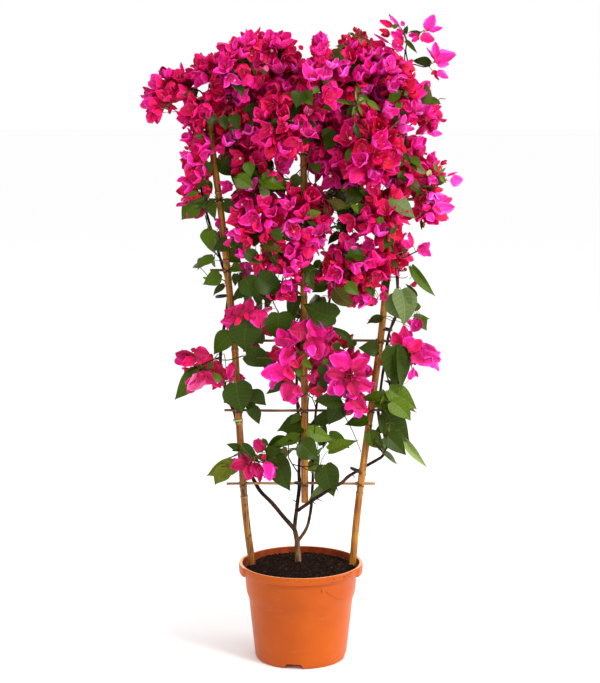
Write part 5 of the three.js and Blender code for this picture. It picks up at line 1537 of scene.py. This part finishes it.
bloom, tubesoup, foliage = Soup(), Soup(), Soup()
rot = basis(flowers["axis"], flowers["spin"])
shape = np.array(
    [3 * int(np.argmin(np.abs(np.array(KINDS) - k))) + int(RNG.integers(3)) for k in flowers["kind"]]
)
for s in range(len(FLOWERS)):
    pick = shape == s
    if not pick.any():
        continue
    bloom.many(
        FLOWERS[s], rot[pick], flowers["base"][pick], flowers["scale"][pick], 3 * flowers["tint"][pick]
    )
    big = pick & (flowers["scale"] > 0.6)
    tubesoup.many(FLORETS[s], rot[big], flowers["base"][big], flowers["scale"][big], 0)
y = unit(bracts["along"])
x = unit(np.cross(y, bracts["face"]))
z = np.cross(x, y)
# a single bract stands in (outward, sideways, along) of its own
rot = np.stack([-z, x, y], 2)
for k in range(len(y)):
    tpl = SINGLE[k % 8]
    s = np.array([[bracts["scale"][k], bracts["wide"][k], bracts["scale"][k]]])
    bloom.many(tpl, rot[k : k + 1], bracts["base"][k : k + 1], s, 3 * bracts["tint"][k])
rot = leaf_basis(leaves["along"], leaves["face"])
shape = RNG.integers(0, len(LEAVES), len(rot))
for s in range(len(LEAVES)):
    pick = shape == s
    sc = np.stack([leaves["wide"][pick], leaves["scale"][pick], leaves["scale"][pick]], 1)
    foliage.many(LEAVES[s], rot[pick], leaves["base"][pick], sc, 3 * leaves["kind"][pick])

soft_nodes = [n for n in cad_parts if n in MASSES]
bloom_nodes = [n for n in soft_nodes if MASSES[n][7] != "l"]
leaf_nodes = [n for n in soft_nodes if MASSES[n][7] == "l"]
made = bloom.pieces("blossom", bract_materials())
for k, o in enumerate(made):
    fix(o, "bloom", *(bloom_nodes if k == 0 else []))
made = foliage.pieces("leaves", leaf_materials())
for k, o in enumerate(made):
    fix(o, "leaf", *(leaf_nodes if k == 0 else []))
for o in tubesoup.pieces(
    "florets", [plain_stem("floret_tube", (206, 62, 92)), plain_stem("floret_star", (250, 244, 212))]
):
    fix(o, "bloom")
green_stem = stem_material("green_stem", (66, 74, 34), (112, 116, 60))
red_stem = stem_material("red_stem", (112, 52, 40), (150, 92, 60))
for o in stems.pieces("stalks", [green_stem, red_stem]):
    fix(o, "stem")
twig_mat = stem_material("twig_bark", (62, 46, 30), (104, 84, 52))
for o in twigs.pieces("twigs", [twig_mat]):
    fix(o, "stem")
for o in wood.pieces("trunk_and_boughs", [bark_material()]):
    fix(o, "stem", *LIMBS)

# ------------------------------------------------------------------ canes, slats and ties

CANES = {
    "cane_left": [(-79, 16, 24, 6.7), (-95.4, 16, 177, 6.6), (-110.7, 16, 319, 6.5), (-127.3, 16, 618, 6.3),
                  (-148.8, 16, 841, 6.1), (-165.3, 16, 978, 5.9), (-172, 16, 1068, 5.7)],
    "cane_middle": [(7.6, 16, 300.5, 6.5), (7.0, 16, 470, 6.5), (6.0, 16, 700, 6.3), (5.2, 16, 900, 6.1),
                    (4.6, 16, 1052, 5.9)],
    "cane_right": [(78, 14, 24, 6.7), (95.6, 14, 164, 6.6), (100.6, 14, 180, 6.6), (112.4, 16, 309, 6.5),
                   (152.2, 16, 618, 6.3), (173.4, 16, 840, 6.1), (187.5, 16, 989, 5.9), (193, 16, 1050, 5.7)],
}
CANE_NODES = {  # heights of the rings on each
    "cane_left": [312, 458, 600, 772, 900, 1010],
    "cane_middle": [392, 548, 700, 838, 968],
    "cane_right": [319, 452, 590, 742, 884, 1000],
}
SLATS = [(335.5, -144, 144), (480.5, -147, 166), (615.5, -158, 182), (751.5, -172, 196), (885.5, -175, 214)]
SLAT_Y = 25.5

canes = Soup()
cane_paths = {}
for name, stations in CANES.items():
    path = smooth_path(stations, 3.0)
    cane_paths[name] = path[:, :3].copy()
    extra = np.concatenate([[z0 + d for d in (-2.4, -1.2, 0, 1.2, 2.2, 3.2, 4.4)] for z0 in CANE_NODES[name]])
    z = np.sort(np.concatenate([path[:, 2], extra]))
    z = z[np.concatenate([[True], np.diff(z) > 0.35])]
    path = np.stack([np.interp(z, path[:, 2], path[:, k]) for k in range(4)], 1)
    pts, rad = path[:, :3].copy(), path[:, 3] + 0.35
    sides = 20
    for z0 in CANE_NODES[name]:
        s = pts[:, 2] - z0
        rad += 0.75 * np.exp(-((s / 2.6) ** 2)) - 0.45 * np.exp(-(((s - 6) / 3.0) ** 2))
    for i in range(len(pts)):
        pts[i] += np.array(noise.noise_vector(Vector((0.3 * len(name), 0, pts[i][2] * 0.006)))) * 0.9
        rad[i] *= 1 + 0.025 * noise.noise(Vector((3.1, len(name), pts[i][2] * 0.02)))
    v, t = tubes(pts[None], rad[None], sides)
    ring_z = np.repeat(pts[:, 2], sides)
    mid = ring_z[t[:, 0] % len(ring_z)]
    # the left cane below 458 mm takes the darker brown bamboo: a weathered tone with painted shade from the leaves
    # over it
    m = np.where((name == "cane_left") & (mid < 458), 3, 0).astype(np.int32)
    for z0 in CANE_NODES[name]:
        m[(mid > z0 - 1.7) & (mid < z0 + 1.6)] = 1
        m[(mid > z0 + 1.6) & (mid < z0 + 2.9)] = 4
    canes.add(v[0], t, m)
    # the cut top: a dark disc on its closed end, painted shade standing for the hollow
    top = pts[-1] + UP * 0.25
    a = np.arange(12) * math.pi / 6
    disc = np.vstack([top, top + np.stack([np.cos(a), np.sin(a), a * 0], 1) * rad[-1] * 0.5])
    canes.add(disc, [(0, 1 + k, 1 + (k + 1) % 12) for k in range(12)], 2)
# colour of the disc: painted shade of the hollow
dark = plain_stem("cane_hollow", (46, 30, 18), 0.9)
gold = bamboo_material("bamboo", ((118, 74, 20), (170, 115, 38), (204, 157, 76)), 0.74)
# darker brown bamboo: a weathered tone with painted shade
brown = bamboo_material("bamboo_brown", ((82, 48, 16), (146, 98, 38), (194, 150, 84)), 0.57)
groove = plain_stem("cane_groove", (70, 44, 24), 0.8)
for o in canes.pieces("canes", [gold, cane_ring_material(), dark, brown, groove]):
    fix(o, "cane", *CANES)

slats = Soup()
for k, (z, left, right) in enumerate(SLATS):
    bow = 0.8 * (-1 if k % 2 else 1)
    x = np.arange(left, right + 0.1, 4.0)
    u = (x - left) / (right - left)
    ribs = np.exp(-(((x - left - 60 - 23 * k) % 128 - 64) / 2.0) ** 2)
    cy = SLAT_Y + 0.4 * np.sin(math.pi * u)
    cz = z + bow * np.sin(math.pi * u) + 0.3 * np.sin(x * 0.05 + k)
    hy, hz = 1.3 + 0.45 * ribs, 2.4 + 0.3 * ribs + 0.12 * np.sin(x * 0.11 + 2 * k)
    corner = [(-1, -0.7), (-1, 0.7), (-0.6, 1), (0.6, 1), (1, 0.7), (1, -0.7), (0.6, -1), (-0.6, -1)]
    v = np.stack(
        [np.stack([x, cy + a * hy, cz + b * hz], 1) for a, b in corner], 1
    ).reshape(-1, 3)
    v[:8, 0] += RNG.uniform(-1.2, 1.2, 8)
    v[-8:, 0] += RNG.uniform(-1.2, 1.2, 8)
    n = len(x)
    t = grid_faces(n, 8, True)
    v = np.vstack([v, v[:8].mean(0), v[-8:].mean(0)])
    ends = []
    for j in range(8):
        g = (j + 1) % 8
        ends += [(8 * n, g, j), (8 * n + 1, 8 * (n - 1) + j, 8 * (n - 1) + g)]
    t = np.concatenate([t, np.array(ends, np.int32)])
    # the lowest slat takes the paler, lit colour and the ones above the darker, shaded one: painted light and shade
    slats.add(v, t, 1 if k == 0 else 0)
shaded_slat = slat_material("split_cane", ((74, 46, 26), (118, 82, 52), (164, 126, 86)))
lit_slat = slat_material("split_cane_pale", ((124, 84, 50), (170, 122, 80), (204, 162, 114)))
for o in slats.pieces("slats", [shaded_slat, lit_slat], flat=True):
    fix(o, "slat", *[f"slat_{i + 1}" for i in range(5)])

ties = Soup()


def loop(centre, half_x, half_y, tilt, r, slot, turns=1.0, drift=0.0):
    a = np.linspace(0, 2 * math.pi * turns, int(20 * turns) + 1)
    c, s = math.cos(tilt), math.sin(tilt)
    pts = np.stack(
        [
            centre[0] + half_x * np.cos(a) * c,
            centre[1] + half_y * np.sin(a),
            centre[2] + half_x * np.cos(a) * s + drift * a / (2 * math.pi),
        ],
        1,
    )
    tan = unit(np.gradient(pts, axis=0))
    ref = np.array([-s, 0, c])
    side = unit(np.cross(tan, ref))
    up = np.cross(side, tan)
    b = 2 * math.pi * np.arange(5) / 5
    v = pts[:, None] + (side[:, None] * np.cos(b)[None, :, None] + up[:, None] * np.sin(b)[None, :, None]) * r
    ties.add(v.reshape(-1, 3), grid_faces(len(pts), 5, True)[:, ::-1], slot)


def cane_at(name, z):
    pts = cane_paths[name]
    return pts[np.argmin(np.abs(pts[:, 2] - z))]


for k, (z, left, right) in enumerate(SLATS):
    for name in CANES:
        c = cane_at(name, z)
        mid = (c[0], 19.0, z)
        for sgn in (1, -1):
            loop(mid, 8.4, 10.6, sgn * 0.62, 0.75 if z > 400 else 0.42, 0)
            loop((mid[0], 19.0, z + 0.9), 8.6, 10.8, sgn * 0.5, 0.65 if z > 400 else 0.4, 0)
        # the twisted ends
        a = RNG.uniform(-0.6, 0.6)
        p0 = np.array([c[0] + 5 * (1 if a > 0 else -1), 8.3, z + 3])
        p1 = p0 + np.array([5 * math.sin(a) * 2, -2.0, 5])
        v, t = tubes(np.array([[p0, (p0 + p1) / 2 + [0, -0.6, 0], p1]]), np.array([[0.9, 0.75, 0.6]]), 5)
        ties.add(v[0], t, 0)
# limbs held to the canes
c = at(238, 421, 16)
loop((c[0], 18, c[2]), 9.2, 10.5, 0.06, 0.9, 1, 2.0, 1.6)
for px, py, half_x, half_y, yy, tilt in (
    (358, 472, 16.0, 10.5, 20, -0.42), (231, 401, 13.5, 17.5, 26, 0.2), (298.5, 484, 7.5, 8.0, 21, -0.12),
    (222, 297, 12.0, 17.5, 26, 0.1), (386, 330, 11.5, 17.5, 26, -0.15),
):
    c = at(px, py, yy)
    loop((c[0], yy, c[2]), half_x, half_y, tilt, 1.25, 0, 2.0, 1.8)
wire = plain_stem("tie_wire", (38, 40, 30), 0.45)
green_tie = plain_stem("tie_green", (150, 176, 108), 0.5)
for o in ties.pieces("ties", [wire, green_tie]):
    fix(o, "stem")

# ------------------------------------------------------------------ pot

PROFILE = [  # radius, height: under the foot, up the outside, over the lip and down the inside
    (0, 0), (40, 0), (70, 0), (83.6, 0), (86.2, 0.7), (87.8, 2.4), (88.7, 5), (90.6, 22), (93.8, 52),
    (97.0, 82), (100.2, 112), (101.0, 117), (102.1, 121), (103.5, 125), (104.8, 129), (105.6, 133),
    (106.2, 138), (107.0, 146), (107.9, 160), (108.3, 168.3), (108.9, 169.9), (110.4, 170.5), (113.0, 170.8),
    (115.2, 171.9), (116.2, 173.8), (116.5, 176.4), (116.5, 183.6), (116.2, 185.4), (115.4, 186.6),
    (114.4, 187.0), (113.5, 186.6), (113.0, 185.4), (113.0, 175.4), (112.4, 173.4), (110.6, 172.0),
    (107.6, 170.8), (106.2, 169.2), (105.6, 164), (103.6, 131), (102.6, 128.6), (99.8, 125.4),
    (98, 110), (88, 18), (86, 15.4), (82, 14.5), (40, 14.5), (0, 14.5),
]
TURNS = 224
prof = np.array(PROFILE, float)
ang = 2 * math.pi * np.arange(TURNS) / TURNS
off = np.abs((ang + math.pi / 2) % math.pi - math.pi / 2)  # angle from the nearer of +X and -X
ease = np.clip((0.47 - off) / 0.12, 0, 1)
ease = ease * ease * (3 - 2 * ease)
inner = prof[1:-1]
r = np.repeat(inner[:, 0][:, None], TURNS, 1)
z = np.repeat(inner[:, 1][:, None], TURNS, 1)
outside = (np.arange(len(inner)) < 28)[:, None]
rim_out = outside & (r > 112)
r = r + np.where(rim_out, 3.5 * ease[None], 0)
edge = outside & (z > 168) & (z < 174.5)
z = z - np.where(edge, 3.2 * ease[None], 0)
r = np.where(outside & (z < 170) & (inner[:, 1][:, None] > 168) & (r < 112), r - 0.35 * ease[None], r)
# a little out of true, as thin moulded plastic is
r = r * (1 + 0.0016 * np.sin(2 * ang + 0.6)[None] + 0.0009 * np.sin(3 * ang + 2)[None])
v = np.stack([r * np.cos(ang), r * np.sin(ang), z], 2).reshape(-1, 3)
v = np.vstack([v, [0, 0, 0], [0, 0, prof[-1, 1]]])
t = grid_faces(len(inner), TURNS, True)
foot, top = len(v) - 2, len(v) - 1
ends = []
for k in range(TURNS):
    g = (k + 1) % TURNS
    ends += [(foot, g, k), (top, (len(inner) - 1) * TURNS + k, (len(inner) - 1) * TURNS + g)]
t = np.concatenate([t, np.array(ends, np.int32)])
# faces along the top of the lip take a paler colour: a painted highlight
lip = (v[t][:, :, 2].min(1) > 186.0).astype(np.int32)
# the inside wall takes a darker colour: painted shade
turn_no = t.min(1) // TURNS
lip[(turn_no >= 30) & (t.max(1) < foot) & (lip == 0)] = 2
# painted highlight for the top of the lip
rim_highlight = Mat("rim_edge", srgb(236, 168, 118), rough=0.3, spec=0.4)
rim_highlight.bump(rim_highlight.noise(900, 3), 0.3, 0.0003)
# darker plastic for the inside wall: painted shade
inside = Mat("pot_inside", srgb(134, 48, 6), rough=0.55, spec=0.14)
inside.to("Base Color", inside.ramp(inside.noise(60, 4), [(0.35, srgb(104, 38, 8)), (0.65, srgb(146, 54, 6))]))
pot = piece("pot_shell", v, t, lip, [pot_material(), rim_highlight.mat, inside.mat])


def prism(outline, y0, y1, turn):
    n = len(outline)
    v = [(x, -y0, z) for x, z in outline] + [(x, -y1, z) for x, z in outline]
    c, s = math.cos(turn), math.sin(turn)
    v = [((x * c - y * s) * MM, (x * s + y * c) * MM, z * MM) for x, y, z in v]
    faces = [tuple(range(n - 1, -1, -1)), tuple(range(n, 2 * n))]
    faces += [(k, (k + 1) % n, (k + 1) % n + n, k + n) for k in range(n)]
    me = bpy.data.meshes.new("cut")
    me.from_pydata(v, [], faces)
    me.update()
    o = bpy.data.objects.new("cut", me)
    bpy.context.scene.collection.objects.link(o)
    return o


outline = [(-20.5, -3), (20.5, -3), (20.3, 0.6), (18.8, 2.4), (14.4, 8.6), (12.4, 10.2), (-12.4, 10.2),
           (-14.4, 8.6), (-18.8, 2.4), (-20.3, 0.6)]
for k in range(4):
    cut = prism(outline, 60, 130, math.radians(-8.6) + k * math.pi / 2)
    mod = pot.modifiers.new("notch", "BOOLEAN")
    mod.operation, mod.object, mod.solver = "DIFFERENCE", cut, "EXACT"
    dg = bpy.context.evaluated_depsgraph_get()
    me = bpy.data.meshes.new_from_object(pot.evaluated_get(dg))
    pot.modifiers.remove(mod)
    old = pot.data
    pot.data = me
    bpy.data.meshes.remove(old)
    bpy.data.meshes.remove(cut.data)
pot.data.name = "pot_shell"
pot.data.shade_smooth()
pot.data.set_sharp_from_angle(angle=math.radians(38))
fix(pot, "pot", "pot")


def wall_radius(z):
    pts = prof[4:29]
    return float(np.interp(z, pts[:, 1], pts[:, 0]))


def on_wall(px, py):
    """The place on the outside of the pot that shows at a place of the view."""
    y = -100.0
    for _ in range(6):
        q = at(px, py, y)
        y = -math.sqrt(max(wall_radius(q[2]) ** 2 - q[0] ** 2, 1))
    return at(px, py, y)


marks = Soup()
for path, r0 in (
    ([(326, 592), (329, 594.5), (333, 597), (337, 599), (343, 599.6)], 0.45),
    ([(321, 589.5), (322, 591), (321.6, 593)], 0.6), ([(343, 577), (349, 574.6), (353, 572.5)], 0.5),
    ([(331, 583), (338, 581.5), (345, 579)], 0.35),
):
    pts = np.array([on_wall(*q) for q in path])
    v, t = tubes(pts[None], np.full((1, len(pts)), r0), 5)
    marks.add(v[0], t, 0)

# ------------------------------------------------------------------ soil

rings, spokes = 52, 150
rr = 104.6 * (np.arange(1, rings + 1) / rings) ** 0.9
a = 2 * math.pi * np.arange(spokes) / spokes
X, Y = rr[:, None] * np.cos(a), rr[:, None] * np.sin(a)
H = np.interp(rr, [0, 36, 72, 98, 104.6], [182.4, 181.6, 180.0, 177.0, 175.4])[:, None] + 0 * X
for i in range(rings):
    for k in range(spokes):
        x, yv = X[i, k], Y[i, k]
        H[i, k] += (
            2.1 * noise.noise(Vector((x * 0.045, yv * 0.045, 3)))
            + 1.5 * noise.noise(Vector((x * 0.13, yv * 0.13, 5)))
            + 1.1 * noise.noise(Vector((x * 0.36, yv * 0.36, 7)))
        )
v = np.stack([X, Y, H], 2).reshape(-1, 3)
last = v[-spokes:].copy()
last[:, 2] = 160
v = np.vstack([v, last, [0, 0, H[0].mean()], [0, 0, 160]])
t = [tuple(x) for x in grid_faces(rings + 1, spokes, True)[:, ::-1]]
n = (rings + 1) * spokes
for k in range(spokes):
    g = (k + 1) % spokes
    t += [(n, k, g), (n + 1, rings * spokes + g, rings * spokes + k)]
t = np.array(t, np.int32)
# keep the winding outward: the top of the heap faces up
e = np.cross(v[t[:, 1]] - v[t[:, 0]], v[t[:, 2]] - v[t[:, 0]])
if e[: rings * spokes, 2].sum() < 0:
    t = t[:, ::-1]
ground = piece("soil_heap", v, t, np.zeros(len(t)), [soil_material("peat", (15, 9, 7), (42, 27, 20))])
fix(ground, "soil", "soil")


def ico():
    g = (1 + 5**0.5) / 2
    v = unit(
        np.array(
            [(-1, g, 0), (1, g, 0), (-1, -g, 0), (1, -g, 0), (0, -1, g), (0, 1, g), (0, -1, -g), (0, 1, -g),
             (g, 0, -1), (g, 0, 1), (-g, 0, -1), (-g, 0, 1)]
        )
    )
    t = [(0, 11, 5), (0, 5, 1), (0, 1, 7), (0, 7, 10), (0, 10, 11), (1, 5, 9), (5, 11, 4), (11, 10, 2),
         (10, 7, 6), (7, 1, 8), (3, 9, 4), (3, 4, 2), (3, 2, 6), (3, 6, 8), (3, 8, 9), (4, 9, 5), (2, 4, 11),
         (6, 2, 10), (8, 6, 7), (9, 8, 1)]
    return v, np.array(t, np.int32)


iv, it = ico()
crumbs = Soup()
count = 2300
rad = 101 * np.sqrt(RNG.random(count))
ang = RNG.uniform(0, 2 * math.pi, count)
size = 0.7 + 1.9 * RNG.random(count) ** 2.6
for k in range(count):
    x, yv = rad[k] * math.cos(ang[k]), rad[k] * math.sin(ang[k])
    h = float(np.interp(rad[k], [0, 36, 72, 98, 104.6], [182.4, 181.6, 180.0, 177.0, 175.4]))
    h += 2.1 * noise.noise(Vector((x * 0.045, yv * 0.045, 3))) + 1.5 * noise.noise(
        Vector((x * 0.13, yv * 0.13, 5))
    )
    s = size[k] * RNG.uniform(0.7, 1.25, 3)
    slot = 0 if RNG.random() < 0.86 else 1
    if slot == 1:  # fibres and chips of bark
        s = np.array([RNG.uniform(2.2, 5.2), RNG.uniform(0.5, 1.0), RNG.uniform(0.4, 0.8)])
    b = iv * s * (1 + RNG.normal(0, 0.13, (12, 1)))
    c, d = math.cos(ang[k] * 7), math.sin(ang[k] * 7)
    b = np.stack([b[:, 0] * c - b[:, 1] * d, b[:, 0] * d + b[:, 1] * c, b[:, 2]], 1)
    crumbs.add(b + [x, yv, h + 0.35 * s[2]], it, slot)
for a0, a1, z0, z1, many in ((-66, -30, 174, 185, 7), (-172, -140, 173, 183, 5), (-112, -80, 174, 184, 3)):
    for _ in range(many):
        a = math.radians(RNG.uniform(a0, a1))
        z = RNG.uniform(z0, z1)
        s = np.array([RNG.uniform(0.35, 0.5), RNG.uniform(0.6, 1.3), RNG.uniform(0.5, 1.1)])
        b = iv * s * (1 + RNG.normal(0, 0.18, (12, 1)))
        tip = RNG.uniform(-0.6, 0.6)
        b = np.stack([b[:, 0], b[:, 1] * math.cos(tip) - b[:, 2] * math.sin(tip),
                      b[:, 1] * math.sin(tip) + b[:, 2] * math.cos(tip)], 1)
        r0 = 116.7 + 3.5 * float(np.clip((0.47 - abs(abs(a) - math.pi)) / 0.12, 0, 1))
        c, d = math.cos(a), math.sin(a)
        marks.add(np.stack([b[:, 0] * c - b[:, 1] * d + r0 * c, b[:, 0] * d + b[:, 1] * c + r0 * d, b[:, 2] + z], 1), it, 1)
for o in marks.pieces(
    "pot_marks", [plain_stem("scratch", (138, 50, 12), 0.6), plain_stem("soil_speck", (84, 34, 16), 0.85)]
):
    fix(o, "pot")
for o in crumbs.pieces(
    "soil_crumbs",
    [soil_material("crumb", (14, 8, 6), (48, 31, 23)), soil_material("chip", (46, 31, 20), (92, 66, 44))],
    flat=True,
):
    fix(o, "soil")

# ------------------------------------------------------------------ floor, light, camera

me = bpy.data.meshes.new("floor")
me.from_pydata([(-150, -150, 0), (150, -150, 0), (150, 150, 0), (-150, 150, 0)], [], [(0, 1, 2, 3)])
floor = bpy.data.objects.new("floor", me)
bpy.context.scene.collection.objects.link(floor)
me.materials.append(Mat("floor_paint", (0.985, 0.985, 0.985, 1), rough=0.9, spec=0.0).mat)
floor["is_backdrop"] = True

world = bpy.data.worlds.new("studio")
bpy.context.scene.world = world
world.use_nodes = True
bg = world.node_tree.nodes["Background"]
bg.inputs["Color"].default_value = (1.0, 1.0, 1.0, 1)
bg.inputs["Strength"].default_value = 1.0


def area(name, where, target, size, power, colour):
    light = bpy.data.lights.new(name, "AREA")
    light.shape, light.size, light.energy, light.color = "DISK", size, power, colour
    o = bpy.data.objects.new(name, light)
    o.location = where
    o.rotation_euler = (Vector(target) - Vector(where)).to_track_quat("-Z", "Y").to_euler()
    bpy.context.scene.collection.objects.link(o)


area("key", (2.2, -2.2, 2.4), (0, 0, 0.8), 1.0, 87, (1.0, 0.985, 0.96))
area("side", (2.6, -0.3, 1.0), (0.05, 0, 0.7), 1.6, 34, (1.0, 0.99, 0.97))
area("fill", (-2.4, -1.8, 1.6), (0, 0, 0.7), 2.0, 5, (0.98, 0.99, 1.0))

cam = bpy.data.objects.new("camera", bpy.data.cameras.new("camera"))
bpy.context.scene.collection.objects.link(cam)
cam.location = (VIEW_X * MM, VIEW_Y * MM, VIEW_Z * MM)
cam.rotation_euler = (math.pi / 2 - PITCH, 0, 0)
cam.data.sensor_fit = "AUTO"
cam.data.sensor_width = 36
cam.data.lens = 36 * FOCAL / 683
cam.data.clip_start, cam.data.clip_end = 0.05, 200
bpy.context.scene.camera = cam
bpy.context.scene.view_settings.view_transform = "Standard"
bpy.context.scene.view_settings.look = "None"

bpy.context.view_layer.update()
tri = {o.name: len(o.data.polygons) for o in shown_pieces() if o.type == "MESH"}
print("triangles", sum(tri.values()), tri)
